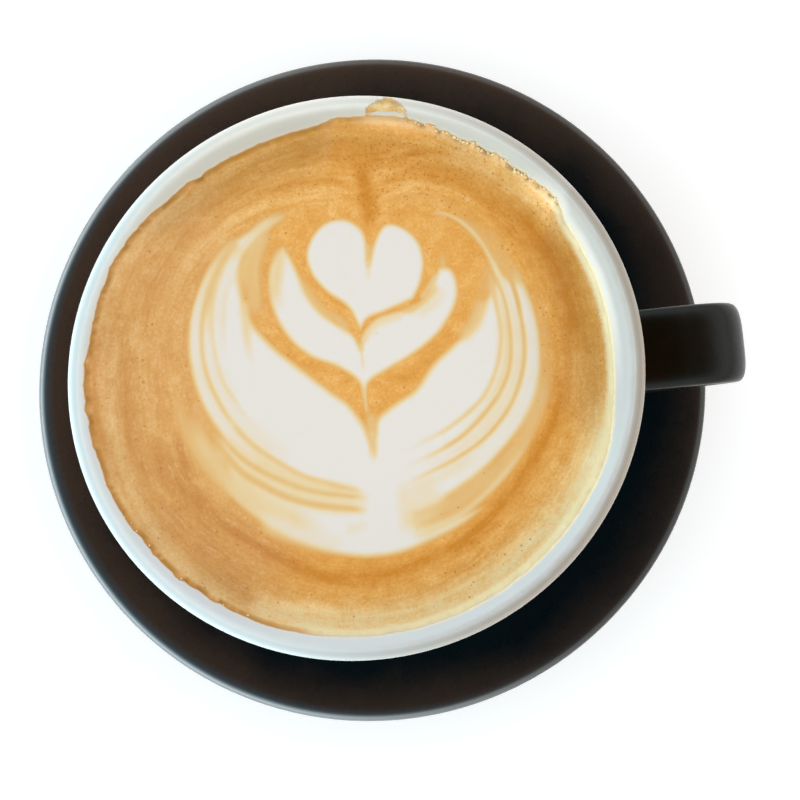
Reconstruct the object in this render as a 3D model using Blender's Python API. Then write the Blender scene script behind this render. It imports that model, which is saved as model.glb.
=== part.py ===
"""A cup of coffee with latte art, on its saucer.

Metres, +Z up. The origin is under the middle of the saucer's foot ring, and the handle
points along +X. Cup and saucer are turned shapes, the handle is a strap carried along a
loop, and the milk figures are thin inlays in shallow pockets of the coffee.
"""

import math

import bmesh
import bpy
from mathutils import Vector

MM = 0.001

# Round pieces
SEGMENTS = 64
CLEARANCE = 0.3 * MM

# Saucer
SAUCER_RADIUS = 80 * MM
SAUCER_HEIGHT = 22 * MM
SAUCER_LIP_RADIUS = 2.2 * MM
SAUCER_WELL_HEIGHT = 7.5 * MM
SAUCER_WELL_RADIUS = 31.5 * MM
SAUCER_FOOT_OUTER = 31 * MM
SAUCER_FOOT_INNER = 27 * MM
SAUCER_FOOT_DEPTH = 2.5 * MM
FOOT_CHAMFER = 0.5 * MM
SAUCER_OVAL = 0.006
SAUCER_OVAL_TURN = math.radians(20)

# Cup
CUP_BASE = SAUCER_WELL_HEIGHT + CLEARANCE
CUP_HEIGHT = 66 * MM
CUP_RIM = CUP_BASE + CUP_HEIGHT
CUP_RADIUS = 54.5 * MM
CUP_LIP_RADIUS = 1.2 * MM
CUP_LIP_START = 140
CUP_FOOT_OUTER = 28.5 * MM
CUP_FOOT_INNER = 24 * MM
CUP_FOOT_DEPTH = 1.8 * MM
CUP_FLOOR = CUP_BASE + 5.7 * MM
CUP_OVAL = 0.0145
CUP_OVAL_TURN = math.radians(13.5)

# Handle
STRAP_WIDTH = 16.4 * MM
STRAP_THICKNESS = 6.0 * MM
STRAP_SQUARENESS = 3.4
STRAP_POINTS = 20
ROOT_FLARE = 1.8 * MM
ROOT_LENGTH = 0.16

# Coffee, whose foam stands higher on one side
COFFEE_LEVEL = 68.2 * MM
COFFEE_TILT = math.radians(1.8)
COFFEE_UPHILL = math.radians(170)
FOAM_PROUD = 0.2 * MM
FOAM_SUNK = 0.6 * MM
FOAM_STEP = 2.4 * MM
FIGURES_AT = (-0.2 * MM, 0.15 * MM)

# Height of the cutters
CUTTER_HEIGHT = 20 * MM

# Upper side of the saucer, from the rise round its well to the lip, as (radius, height) in millimetres
SAUCER_TOP = [(32.8, 8.8), (35.0, 9.3), (46.0, 10.2), (58.0, 12.7), (68.0, 16.2), (76.7, 21.7)]

# Underside of the saucer, lip to foot ring, in the same way
SAUCER_UNDERSIDE = [(68.0, 11.2), (58.0, 7.7), (46.0, 5.0), (33.6, 3.3), (31.0, 2.2)]

# Outer side of the cup, foot ring to lip
CUP_OUTSIDE = [
    (28.5, 9.4), (29.4, 10.8), (32.6, 12.6), (38.4, 18.0), (44.2, 26.5), (48.8, 37.0),
    (52.0, 49.0), (53.8, 61.0), (54.5, 70.0),
]  # fmt: skip

# Inner side of the cup, lip to floor
CUP_INSIDE = [
    (52.08, 72.8), (51.8, 71.9), (51.45, 70.5), (50.9, 68.2), (50.1, 65.6), (49.2, 61.0),
    (47.5, 50.0), (44.0, 38.0), (39.0, 28.0), (32.2, 20.4), (22.5, 15.4), (12.0, 13.8),
]  # fmt: skip

# Centre line of the handle, from the upper root round to the lower one, as (x, z) in millimetres
HANDLE_ROUTE = [
    (51.6, 59.2), (57.5, 59.6), (65.5, 59.5), (72.8, 57.9), (76.75, 53.3), (76.2, 46.6),
    (71.2, 39.5), (63.6, 33.8), (54.4, 30.2), (41.8, 28.4),
]  # fmt: skip

# Milk figures, seen from above in millimetres. Each is made of runs: a smooth curve passes
# through the points of a run, and runs meet at corners.
HEART = [
    [(4.5, 19.5), (4.7, 25.0), (3.9, 28.6), (1.2, 30.9), (-2.4, 30.8), (-5.6, 28.3),
     (-7.2, 24.6), (-6.5, 20.8), (-3.8, 17.0), (-0.2, 13.8), (1.9, 8.6)],
    [(1.9, 8.6), (3.4, 11.2), (8.0, 12.8), (12.6, 14.0)],
    [(12.6, 14.0), (14.6, 17.0), (15.7, 21.4), (14.8, 25.4), (12.2, 28.2), (9.0, 29.2),
     (6.8, 26.6), (5.5, 22.8), (4.5, 19.5)],
]  # fmt: skip
MIDDLE_LEAF = [
    [(-10.2, 25.0), (-8.8, 20.4), (-7.0, 15.8), (-4.4, 12.3), (-1.2, 9.8), (0.8, 6.8), (1.9, 2.6)],
    [(1.9, 2.6), (2.5, 6.2), (4.0, 9.2), (8.0, 10.7), (12.6, 11.1), (15.8, 13.2), (17.6, 16.4),
     (18.8, 20.6)],
    [(18.8, 20.6), (21.0, 19.0), (21.5, 15.4), (20.2, 10.6), (17.0, 6.6), (11.6, 3.3), (5.8, 0.5),
     (2.4, -1.6), (1.5, -6.6)],
    [(1.5, -6.6), (0.5, -1.0), (-3.2, 2.2), (-8.6, 5.0), (-12.4, 9.2), (-14.7, 14.6), (-14.6, 19.6),
     (-12.8, 24.6), (-10.2, 25.0)],
]  # fmt: skip
LARGE_LEAF = [
    # Inner edge, from the slot in the middle up to the left tip
    [(2.1, -16.0), (1.2, -10.6), (-1.6, -5.0), (-4.8, -2.0), (-8.2, 1.2), (-11.6, 4.4),
     (-14.8, 7.8), (-18.2, 12.2), (-20.4, 17.2), (-19.4, 22.4), (-16.4, 27.4), (-11.0, 32.6)],
    # Outer edge, down the left ribbons
    [(-11.0, 32.6), (-17.2, 31.0), (-22.6, 27.9), (-27.0, 23.0), (-30.2, 16.6), (-31.6, 9.0),
     (-31.1, 2.0), (-29.6, -4.0), (-31.0, -10.8)],
    # Base, round to the tip of the thin line on the right
    [(-31.0, -10.8), (-29.8, -16.0), (-25.2, -22.6), (-19.0, -28.2), (-11.0, -33.0), (-3.0, -35.2),
     (5.0, -34.9), (12.0, -32.4), (20.0, -28.7), (25.6, -24.2), (28.6, -20.2)],
    # Upper side of that line, back to the stem
    [(28.6, -20.2), (24.2, -24.0), (17.6, -28.2), (11.6, -30.3), (6.6, -30.6)],
    [(6.6, -30.6), (6.3, -28.4)],
    # Outer edge of the right ribbons, up to their tip
    [(6.3, -28.4), (13.0, -25.8), (20.0, -22.2), (26.6, -17.6), (32.0, -11.6), (35.6, -3.6),
     (36.4, 4.6), (34.9, 12.8), (31.5, 20.6), (25.8, 27.8), (17.6, 31.8)],
    # Inner edge of the right ribbons, then of the leaf, back to the slot
    [(17.6, 31.8), (22.8, 27.8), (26.4, 22.6), (27.6, 17.0), (26.8, 12.2), (24.4, 7.6), (19.6, 4.4),
     (15.2, 0.8), (11.4, -3.6), (6.6, -6.2), (3.4, -8.6), (2.1, -16.0)],
]  # fmt: skip

# Lines of coffee between the ribbons: the width in millimetres, then the points along each
RIBBON_LINES = [
    (1.0, [(-22.6, 31.0), (-27.2, 20.0), (-29.2, 12.0), (-28.8, 4.0), (-26.8, -3.2), (-22.6, -9.4),
           (-16.6, -14.7), (-9.4, -18.2), (-1.6, -20.8)]),
    (1.8, [(-33.0, -4.0), (-28.4, -9.6), (-23.0, -14.8), (-15.6, -19.2), (-8.4, -21.8),
           (-1.2, -23.6)]),
    (1.1, [(-27.2, -11.6), (-23.6, -17.0), (-16.2, -21.9), (-8.4, -24.7), (-1.2, -26.2)]),
    (0.8, [(25.4, 21.0), (28.6, 17.4), (29.2, 9.6), (28.5, 1.4), (25.8, -5.8), (20.0, -10.8),
           (14.0, -13.7), (8.0, -15.2)]),
    (0.9, [(22.6, 26.0), (28.2, 22.4), (30.4, 13.0), (30.6, 3.4), (28.6, -5.0), (23.4, -11.4),
           (16.0, -15.6), (6.6, -18.9)]),
    (0.9, [(28.4, 29.0), (31.6, 19.6), (33.3, 9.8), (33.2, 0.6), (30.6, -7.6), (24.8, -14.4),
           (16.4, -18.9), (6.8, -21.9)]),
]  # fmt: skip


def clear_scene():
    """Removes every object of the scene."""
    for obj in list(bpy.data.objects):
        bpy.data.objects.remove(obj, do_unlink=True)


def make_material(name, colour, roughness):
    """A Principled material of one colour, glazed or matte."""
    material = bpy.data.materials.new(name)
    material.use_nodes = True
    shader = material.node_tree.nodes["Principled BSDF"]
    shader.inputs["Base Color"].default_value = (*colour, 1.0)
    shader.inputs["Roughness"].default_value = roughness
    shader.inputs["Metallic"].default_value = 0.0
    material.diffuse_color = (*colour, 1.0)
    return material


def add_object(name, bm, material=None):
    """Puts a bmesh into the scene as one closed object with its faces pointing out."""
    bmesh.ops.recalc_face_normals(bm, faces=bm.faces[:])
    mesh = bpy.data.meshes.new(name)
    bm.to_mesh(mesh)
    bm.free()
    mesh.shade_smooth()
    mesh.set_sharp_from_angle(angle=math.radians(40))
    obj = bpy.data.objects.new(name, mesh)
    bpy.context.collection.objects.link(obj)
    if material:
        mesh.materials.append(material)
    return obj


def as_tool(obj):
    """Marks an object as a cutter or an operand, which is no piece of its own."""
    obj.hide_render = True
    obj.display_type = "WIRE"
    return obj


def boolean(target, tool, operation):
    """Adds an exact Boolean of target with tool."""
    modifier = target.modifiers.new(f"{operation.title()} {tool.name}", "BOOLEAN")
    modifier.operation = operation
    modifier.solver = "EXACT"
    modifier.object = tool


def arc(centre, radius, start, end, steps):
    """Points on an arc of a circle, from one angle to another, in degrees."""
    turn = [math.radians(start + (end - start) * k / steps) for k in range(steps + 1)]
    return [(centre[0] + radius * math.cos(a), centre[1] + radius * math.sin(a)) for a in turn]


def curve_through(points, spacing):
    """Points about spacing apart on a smooth curve (centripetal Catmull-Rom) through the given ones."""
    route = [Vector(p) for p in points]
    route = [2 * route[0] - route[1], *route, 2 * route[-1] - route[-2]]
    found = [route[1]]
    for before, start, end, after in zip(route, route[1:], route[2:], route[3:]):
        first, span, last = (math.sqrt((b - a).length) for a, b in
                             ((before, start), (start, end), (end, after)))
        leave = (end - start) + span * ((start - before) / first - (end - before) / (first + span))
        arrive = (end - start) + span * ((after - end) / last - (after - start) / (span + last))
        steps = max(1, round((end - start).length / spacing))
        for step in range(1, steps + 1):
            t = step / steps
            found.append(
                (2 * t**3 - 3 * t**2 + 1) * start + (t**3 - 2 * t**2 + t) * leave
                + (3 * t**2 - 2 * t**3) * end + (t**3 - t**2) * arrive
            )  # fmt: skip
    return found


def metres(points):
    """The same points, from millimetres to metres."""
    return [tuple(value * MM for value in point) for point in points]


def turned(profile):
    """A closed turned shape from its (radius, height) profile, which starts and ends on the axis."""
    bm = bmesh.new()
    verts = [bm.verts.new((radius, 0, height)) for radius, height in profile]
    edges = [bm.edges.new(pair) for pair in zip(verts, verts[1:])]
    bmesh.ops.spin(
        bm, geom=verts + edges, cent=(0, 0, 0), axis=(0, 0, 1), angle=math.tau, steps=SEGMENTS
    )
    bmesh.ops.remove_doubles(bm, verts=bm.verts[:], dist=0.01 * MM)
    return bm


def make_oval(bm, oval, turn, base, height):
    """Stretches a turned shape along one direction and narrows it across, more towards its rim."""
    along = Vector((math.cos(turn), math.sin(turn), 0))
    across = Vector((-along.y, along.x, 0))
    for vert in bm.verts:
        share = oval * (vert.co.z - base) / height
        vert.co += share * (along * vert.co.dot(along) - across * vert.co.dot(across))


def foot_ring(outer, inner, base, depth):
    """The underside of a foot ring with chamfered edges, and the recess inside it."""
    return [
        (outer - FOOT_CHAMFER, base),
        (inner + FOOT_CHAMFER, base),
        (inner, base + depth),
        (0, base + depth),
    ]


def saucer_profile():
    """The saucer's section, from the middle of its top over the lip to the middle of its underside."""
    well = [(0, SAUCER_WELL_HEIGHT), (SAUCER_WELL_RADIUS, SAUCER_WELL_HEIGHT)]
    top = curve_through(metres(SAUCER_TOP), 10 * MM)
    lip_centre = (SAUCER_RADIUS - SAUCER_LIP_RADIUS, SAUCER_HEIGHT - SAUCER_LIP_RADIUS)
    lip = arc(lip_centre, SAUCER_LIP_RADIUS, 100, -60, 6)
    underside = curve_through(metres(SAUCER_UNDERSIDE), 12 * MM)
    foot = foot_ring(SAUCER_FOOT_OUTER, SAUCER_FOOT_INNER, 0, SAUCER_FOOT_DEPTH)
    return [*well, *top, *lip, *underside, *foot]


def inner_wall():
    """The cup's inner side from just under the lip down to the edge of its floor."""
    return curve_through(metres(CUP_INSIDE), 9 * MM)


def cup_profile():
    """The cup's section, from the middle of its floor over the lip to the middle of its underside."""
    inside = [(0, CUP_FLOOR), *reversed(inner_wall())]
    lip_centre = (CUP_RADIUS - CUP_LIP_RADIUS, CUP_RIM - CUP_LIP_RADIUS)
    lip = arc(lip_centre, CUP_LIP_RADIUS, CUP_LIP_START, 0, 6)
    outside = reversed(curve_through(metres(CUP_OUTSIDE), 9 * MM))
    foot = foot_ring(CUP_FOOT_OUTER, CUP_FOOT_INNER, CUP_BASE, CUP_FOOT_DEPTH)
    return [*inside, *lip, *outside, *foot]


def strap_section(width, thickness):
    """A rounded rectangle (superellipse) with crowned faces, as (across, outwards) pairs."""
    power = 2 / STRAP_SQUARENESS
    points = []
    for k in range(STRAP_POINTS):
        a = math.tau * (k + 0.5) / STRAP_POINTS
        across = math.copysign(abs(math.cos(a)) ** power, math.cos(a)) * width / 2
        outwards = math.copysign(abs(math.sin(a)) ** power, math.sin(a)) * thickness / 2
        points.append((across, outwards))
    return points


def handle():
    """The strap carried along its loop in the XZ plane, wider and thicker where it meets the cup."""
    route = curve_through(metres(HANDLE_ROUTE), 3.4 * MM)
    bm = bmesh.new()
    rings = []
    for k, point in enumerate(route):
        ahead = route[min(k + 1, len(route) - 1)]
        behind = route[max(k - 1, 0)]
        along = (ahead - behind).normalized()
        outwards = Vector((-along.y, along.x))
        share = k / (len(route) - 1)
        flare = ROOT_FLARE * max(0, 1 - min(share, 1 - share) / ROOT_LENGTH) ** 2
        ring = []
        for across, out in strap_section(STRAP_WIDTH + flare, STRAP_THICKNESS + flare):
            place = point + outwards * out
            ring.append(bm.verts.new((place.x, across, place.y)))
        rings.append(ring)
    loops = [[bm.edges.new(pair) for pair in zip(ring, ring[1:] + ring[:1])] for ring in rings]
    for lower, upper in zip(loops, loops[1:]):
        bmesh.ops.bridge_loops(bm, edges=lower + upper)
    bm.faces.new(rings[0])
    bm.faces.new(rings[-1])
    return bm


def slab(name, outline, bottom, top, parent, material=None):
    """A flat outline made a solid between two heights, lying on the coffee's surface."""
    bm = bmesh.new()
    face = bm.faces.new([bm.verts.new((x, y, bottom)) for x, y in outline])
    raised = bmesh.ops.extrude_face_region(bm, geom=[face])
    verts = [item for item in raised["geom"] if isinstance(item, bmesh.types.BMVert)]
    bmesh.ops.translate(bm, verts=verts, vec=(0, 0, top - bottom))
    obj = add_object(name, bm, material)
    obj.parent = parent
    return obj


def figure_outline(runs):
    """The closed outline of a milk figure, from its runs."""
    outline = []
    for run in runs:
        outline += curve_through(metres(run), FOAM_STEP)[:-1]
    return outline


def grown(outline, distance):
    """The outline moved outwards by a distance, with its sharp tips cut short."""
    area = sum(a.x * b.y - a.y * b.x for a, b in zip(outline, outline[1:] + outline[:1]))
    side = math.copysign(1, area)
    found = []
    for before, point, after in zip([outline[-1]] + outline, outline, outline[1:] + outline[:1]):
        normals = []
        for start, end in ((before, point), (point, after)):
            edge = (end - start).normalized()
            normals.append(Vector((edge.y, -edge.x)) * side)
        middle = normals[0] + normals[1]
        reach = min(2 / max(middle.length, 0.01), 2.0)
        found.append(point + middle.normalized() * distance * reach)
    return found


def line_outline(width, points):
    """The outline of a line of the given width along a smooth curve, narrowing to its far end."""
    route = curve_through(metres(points), FOAM_STEP)
    sides = ([], [])
    for k, point in enumerate(route):
        along = (route[min(k + 1, len(route) - 1)] - route[max(k - 1, 0)]).normalized()
        half = 0.5 * width * MM * (1 - 0.6 * (k / (len(route) - 1)) ** 4)
        sides[0].append(point + Vector((-along.y, along.x)) * half)
        sides[1].append(point - Vector((-along.y, along.x)) * half)
    return sides[0] + sides[1][::-1]


def make_saucer():
    """The saucer, a little oval, with a well for the cup's foot and a foot ring of its own."""
    glaze = make_material("black glaze", (0.022, 0.019, 0.018), 0.35)
    bm = turned(saucer_profile())
    make_oval(bm, SAUCER_OVAL, SAUCER_OVAL_TURN, 0, SAUCER_HEIGHT)
    return add_object("saucer", bm, glaze)


def is_inner(polygon):
    """Whether a face belongs to the cup's inner side or to its lip, which are glazed white."""
    outwards = Vector((polygon.center.x, polygon.center.y, 0))
    faces_in = polygon.normal.dot(outwards) < 0 or polygon.normal.z > 0.5
    return faces_in and polygon.center.z > CUP_FLOOR - CLEARANCE


def make_cup():
    """The cup, turned and slightly oval at the rim, with its handle joined on."""
    bm = turned(cup_profile())
    make_oval(bm, CUP_OVAL, CUP_OVAL_TURN, CUP_BASE, CUP_HEIGHT)
    cup = add_object("cup", bm, make_material("black cup glaze", (0.022, 0.021, 0.020), 0.35))
    cup.data.materials.append(make_material("white cup glaze", (0.80, 0.80, 0.78), 0.15))
    for polygon in cup.data.polygons:
        polygon.material_index = int(is_inner(polygon))
    boolean(cup, as_tool(add_object("handle_strap", handle())), "UNION")


def coffee_profile():
    """The space inside the cup, a clearance away from its wall, up to the rim."""
    wall = inner_wall()
    filled = []
    for k, point in enumerate(wall):
        along = (wall[min(k + 1, len(wall) - 1)] - wall[max(k - 1, 0)]).normalized()
        filled.append(point + Vector((along.y, -along.x)) * CLEARANCE)
    return [(0, CUP_RIM), (filled[0].x, CUP_RIM), *filled, (0, CUP_FLOOR + CLEARANCE)]


def make_coffee(surface):
    """The coffee, which fills the cup up to its tilted surface."""
    bm = turned(coffee_profile())
    make_oval(bm, CUP_OVAL, CUP_OVAL_TURN, CUP_BASE, CUP_HEIGHT)
    coffee = add_object("coffee", bm, make_material("crema", (0.62, 0.32, 0.09), 0.35))
    reach = CUP_RADIUS * 1.2
    square = [(-reach, -reach), (reach, -reach), (reach, reach), (-reach, reach)]
    boolean(coffee, as_tool(slab("above_surface", square, 0, CUTTER_HEIGHT, surface)), "DIFFERENCE")
    return coffee


def make_surface():
    """An empty on the coffee's surface, tilted as the surface is, where the figures are drawn from."""
    surface = bpy.data.objects.new("surface", None)
    bpy.context.collection.objects.link(surface)
    surface.location = (*FIGURES_AT, COFFEE_LEVEL)
    uphill = Vector((math.cos(COFFEE_UPHILL), math.sin(COFFEE_UPHILL), 0))
    normal = Vector((0, 0, math.cos(COFFEE_TILT))) - uphill * math.sin(COFFEE_TILT)
    surface.rotation_mode = "QUATERNION"
    surface.rotation_quaternion = Vector((0, 0, 1)).rotation_difference(normal)
    return surface


def make_figure(name, runs, coffee, surface, material):
    """A milk figure as an inlay, and its pocket in the coffee."""
    outline = figure_outline(runs)
    figure = slab(name, outline, -FOAM_SUNK, FOAM_PROUD, surface, material)
    pocket = slab(
        f"{name}_pocket", grown(outline, CLEARANCE), -FOAM_SUNK - CLEARANCE, CUTTER_HEIGHT, surface
    )
    boolean(coffee, as_tool(pocket), "DIFFERENCE")
    return figure


def cut_ribbons(leaf, surface):
    """Parts the large leaf into ribbons along the lines of coffee that run through it."""
    for number, (width, points) in enumerate(RIBBON_LINES, start=1):
        outline = line_outline(width, points)
        line = slab(f"ribbon_line_{number}", outline, -CUTTER_HEIGHT, CUTTER_HEIGHT, surface)
        boolean(leaf, as_tool(line), "DIFFERENCE")


def main():
    """Builds the saucer, the cup, the coffee and the milk figures on it."""
    clear_scene()
    make_saucer()
    make_cup()
    surface = make_surface()
    coffee = make_coffee(surface)
    milk = make_material("milk foam", (0.82, 0.78, 0.72), 0.4)
    make_figure("foam_heart", HEART, coffee, surface, milk)
    make_figure("foam_leaf_middle", MIDDLE_LEAF, coffee, surface, milk)
    leaf = make_figure("foam_leaf_large", LARGE_LEAF, coffee, surface, milk)
    cut_ribbons(leaf, surface)


main()
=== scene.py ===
"""Looks of a cup of coffee with latte art, on its saucer.

Cup and saucer are turned stoneware, black satin outside and white gloss inside the cup. The
handle is a strap. The coffee's surface is one fine mesh: outlines and brush strokes say how
much milk and how dark a crema each point of it shows, and its material turns that into
colour, streaks and bubbles. Shapes are worked out in millimetres, +Z up, and angles round the
cup are counted from its handle.
"""

import math
from collections import namedtuple

import bpy
import numpy as np
from bpy.props import FloatProperty, FloatVectorProperty, IntProperty, PointerProperty
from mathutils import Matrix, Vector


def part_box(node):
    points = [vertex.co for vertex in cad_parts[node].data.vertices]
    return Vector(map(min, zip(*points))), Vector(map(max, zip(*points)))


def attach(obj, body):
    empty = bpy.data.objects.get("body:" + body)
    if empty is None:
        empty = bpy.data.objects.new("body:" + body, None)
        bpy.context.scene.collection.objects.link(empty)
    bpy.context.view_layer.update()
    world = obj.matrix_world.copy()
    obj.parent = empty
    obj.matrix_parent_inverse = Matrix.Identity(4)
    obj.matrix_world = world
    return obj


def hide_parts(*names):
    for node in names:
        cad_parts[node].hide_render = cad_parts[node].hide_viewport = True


bl_info = {
    "name": "Latte in a Cup",
    "version": (1, 0, 0),
    "blender": (4, 5, 0),
    "location": "View3D > Sidebar > Latte",
    "description": "Builds a cup of coffee with latte art, on its saucer",
    "category": "Object",
}

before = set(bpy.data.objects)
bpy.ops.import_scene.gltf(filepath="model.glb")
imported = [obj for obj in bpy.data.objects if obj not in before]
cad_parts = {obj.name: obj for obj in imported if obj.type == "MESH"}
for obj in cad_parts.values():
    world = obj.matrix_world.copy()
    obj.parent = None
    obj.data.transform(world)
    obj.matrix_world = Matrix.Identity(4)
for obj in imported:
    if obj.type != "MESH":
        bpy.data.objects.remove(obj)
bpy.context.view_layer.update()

MM = 0.001
BODY = "root"
SAUCER_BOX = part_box("saucer")
CUP_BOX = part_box("cup")

# Turned pieces: the points round them, the spacing along their curves, the steps round a lip, and the
# space between the cup's foot and the saucer
SEGMENTS = 320
PROFILE_STEP = 1.0
LIP_STEPS = 16
CLEARANCE = 0.3

# Saucer
SAUCER_RADIUS = 80.0
SAUCER_HEIGHT = SAUCER_BOX[1].z / MM
SAUCER_LIP_RADIUS = 2.2
SAUCER_WELL_HEIGHT = 7.5
SAUCER_WELL_RADIUS = 31.5
SAUCER_FOOT = (31.0, 27.0, 2.5)
SAUCER_OVAL = 0.006
SAUCER_OVAL_TURN = math.radians(20)
FOOT_ROUND = 0.5

# Cup
CUP_BASE = SAUCER_WELL_HEIGHT + CLEARANCE
CUP_HEIGHT = CUP_BOX[1].z / MM - CUP_BASE
CUP_RADIUS = 54.5
CUP_LIP_RADIUS = 1.2
CUP_LIP_START = 140
CUP_FOOT = (28.5, 24.0, 1.8)
CUP_FLOOR = CUP_BASE + 5.7
CUP_OVAL = 0.0145
CUP_OVAL_TURN = math.radians(13.5)

# Handle
STRAP_WIDTH = 16.4
STRAP_THICKNESS = 6.0
STRAP_FILLET = 2.4
STRAP_SQUARENESS = 3.4
STRAP_POINTS = 64
STRAP_STEP = 0.5

# Coffee, whose foam stands higher on one side: its level, tilt and uphill direction, the rings of its
# surface, the heights of those down its side, how far it reaches into the wall, how high and wide the
# film right at the wall is, and the milk's relief
COFFEE_LEVEL = 68.2
COFFEE_TILT = math.radians(1.8)
COFFEE_UPHILL = math.radians(170)
COFFEE_RINGS = 150
COFFEE_SIDE = (60.0, 48.0, 36.0, 26.0, 18.0, 14.6)
WALL_REACH = 0.15
MENISCUS_RISE = 0.55
MENISCUS_WIDTH = 0.7
MILK_RELIEF = 0.10

# Upper side of the saucer, from the rise round its well to the lip, as (radius, height)
SAUCER_TOP = [(32.8, 8.8), (35.0, 9.3), (46.0, 10.2), (58.0, 12.7), (68.0, 16.2), (76.7, 21.7)]

# Underside of the saucer, lip to foot ring
SAUCER_UNDERSIDE = [(68.0, 11.2), (58.0, 7.7), (46.0, 5.0), (33.6, 3.3), (31.0, 2.2)]

# Outer side of the cup, foot ring to lip
CUP_OUTSIDE = [
    (28.5, 9.4), (29.4, 10.8), (32.6, 12.6), (38.4, 18.0), (44.2, 26.5), (48.8, 37.0),
    (52.0, 49.0), (53.8, 61.0), (54.5, 70.0),
]  # fmt: skip

# Inner side of the cup, lip to floor
CUP_INSIDE = [
    (52.08, 72.8), (51.8, 71.9), (51.45, 70.5), (50.9, 68.2), (50.1, 65.6), (49.2, 61.0),
    (47.5, 50.0), (44.0, 38.0), (39.0, 28.0), (32.2, 20.4), (22.5, 15.4), (12.0, 13.8),
]  # fmt: skip

# Centre line of the handle, from the upper root round to the lower one, as (x, z)
HANDLE_ROUTE = [
    (51.6, 59.2), (57.5, 59.6), (65.5, 59.5), (72.8, 57.9), (76.75, 53.3), (76.2, 46.6),
    (71.2, 39.5), (63.6, 33.8), (54.4, 30.2), (43.4, 28.6),
]  # fmt: skip

# Where the foam meets the wall: the angle round the cup, how far the foam stands above the coffee's
# level there, and over what distance from the wall it climbs to that
CONTACT = [
    (0, -1.7, 10), (12, -1.3, 10), (24, -0.8, 8), (31, -0.3, 5), (36, 2.2, 2.2), (41, 2.2, 2.2),
    (46, 1.1, 2.5), (52, 1.3, 2.5), (60, 0.7, 2.5), (66, 1.2, 2.5), (72, 2.1, 2.2), (78, 2.1, 2.0),
    (84, 1.5, 2.5), (89, 0.9, 3), (94, -0.9, 8), (104, -1.7, 10), (118, -1.6, 10), (128, -0.8, 8),
    (136, 0.4, 5), (141, 1.4, 4), (148, 1.8, 4), (158, 1.3, 4), (167, 1.0, 4), (172, 1.7, 3),
    (184, 1.3, 4), (194, 0.8, 4), (204, 1.2, 3), (212, 0.3, 4), (220, 0.7, 4), (232, -0.1, 5),
    (244, 0.1, 5), (262, -0.3, 6), (280, -0.3, 6), (300, -0.2, 6), (316, 0.1, 5), (328, 0.5, 4),
    (337, 0.6, 4), (345, -0.7, 7), (352, -1.5, 10),
]  # fmt: skip

# How ragged the foam's edge is all round, and what each stretch of the wall adds: how much, from
# and to which angle, and how soft its ends are. Then the fewest and the most waves round the cup, and how
# far from the wall they reach.
RAGGED_ALL_ROUND = 0.14
RAGGED_STRETCHES = [(0.72, 33, 70, 4), (0.34, 196, 236, 4), (0.24, 120, 190, 4), (0.3, 85, 97, 4)]
FRINGE_WAVES = (30, 260)
FRINGE_REACH = 0.6

# How strong the brown line along the foam's edge is, in the same way: dried crema, and painted shade
# where the foam meets the wall. Then the pale yellow above it: partly a thin film of crema, partly a
# painted reflection of the crema.
CRUST_AND_SHADE_ALL_ROUND = 0.12
CRUST_AND_SHADE_STRETCHES = [(0.88, 84, 254, 12), (0.22, 262, 345, 10), (0.5, 34, 80, 8)]
FILM_AND_REFLECTION_ALL_ROUND = 0.25
FILM_AND_REFLECTION_STRETCHES = [(0.55, 285, 400, 20)]

# Crema that is greyer: from and to which angle, how soft its ends are, and how far from the middle it
# starts and is complete
GREY_SECTOR = (125, 245, 15)
GREY_REACH = (14, 34)

# Milk figures, seen from above, and where they lie. Each is made of runs: a smooth curve passes
# through the points of a run, and runs meet at corners.
FIGURES_AT = (-0.2, 0.15)
HEART = [
    [(4.7, 21.4), (4.9, 25.2), (4.1, 28.6), (1.2, 30.9), (-2.4, 30.8), (-5.6, 28.3), (-7.2, 24.6),
     (-6.5, 20.8), (-3.8, 17.0), (-0.2, 13.8), (1.9, 8.9)],
    [(1.9, 8.9), (3.4, 10.9), (7.0, 12.1), (10.6, 13.2), (12.8, 14.0)],
    [(12.8, 14.0), (14.6, 17.0), (15.7, 21.4), (14.8, 25.4), (12.2, 28.2), (9.0, 29.2), (7.0, 27.2),
     (5.7, 24.4), (4.7, 21.4)],
]  # fmt: skip
MIDDLE_LEAF = [
    [(-11.6, 26.6), (-10.2, 24.4), (-8.8, 20.4), (-7.0, 15.8), (-4.4, 12.3), (-1.2, 9.8), (0.7, 7.8),
     (1.7, 5.4)],
    [(1.7, 5.4), (2.3, 7.6), (3.6, 9.4), (5.4, 10.8), (8.0, 11.5), (10.6, 12.0), (13.2, 12.6),
     (15.2, 14.1), (16.8, 16.6), (18.4, 19.4)],
    [(18.4, 19.4), (20.5, 19.2), (21.6, 16.8), (21.4, 13.4), (19.9, 10.4), (16.8, 6.7), (11.6, 3.2),
     (5.8, 0.4), (2.4, -1.6), (1.5, -6.6)],
    [(1.5, -6.6), (0.5, -1.0), (-3.2, 2.2), (-8.6, 5.0), (-12.4, 9.2), (-14.6, 14.4), (-15.0, 19.6),
     (-14.2, 23.4), (-11.6, 26.6)],
]  # fmt: skip
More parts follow.
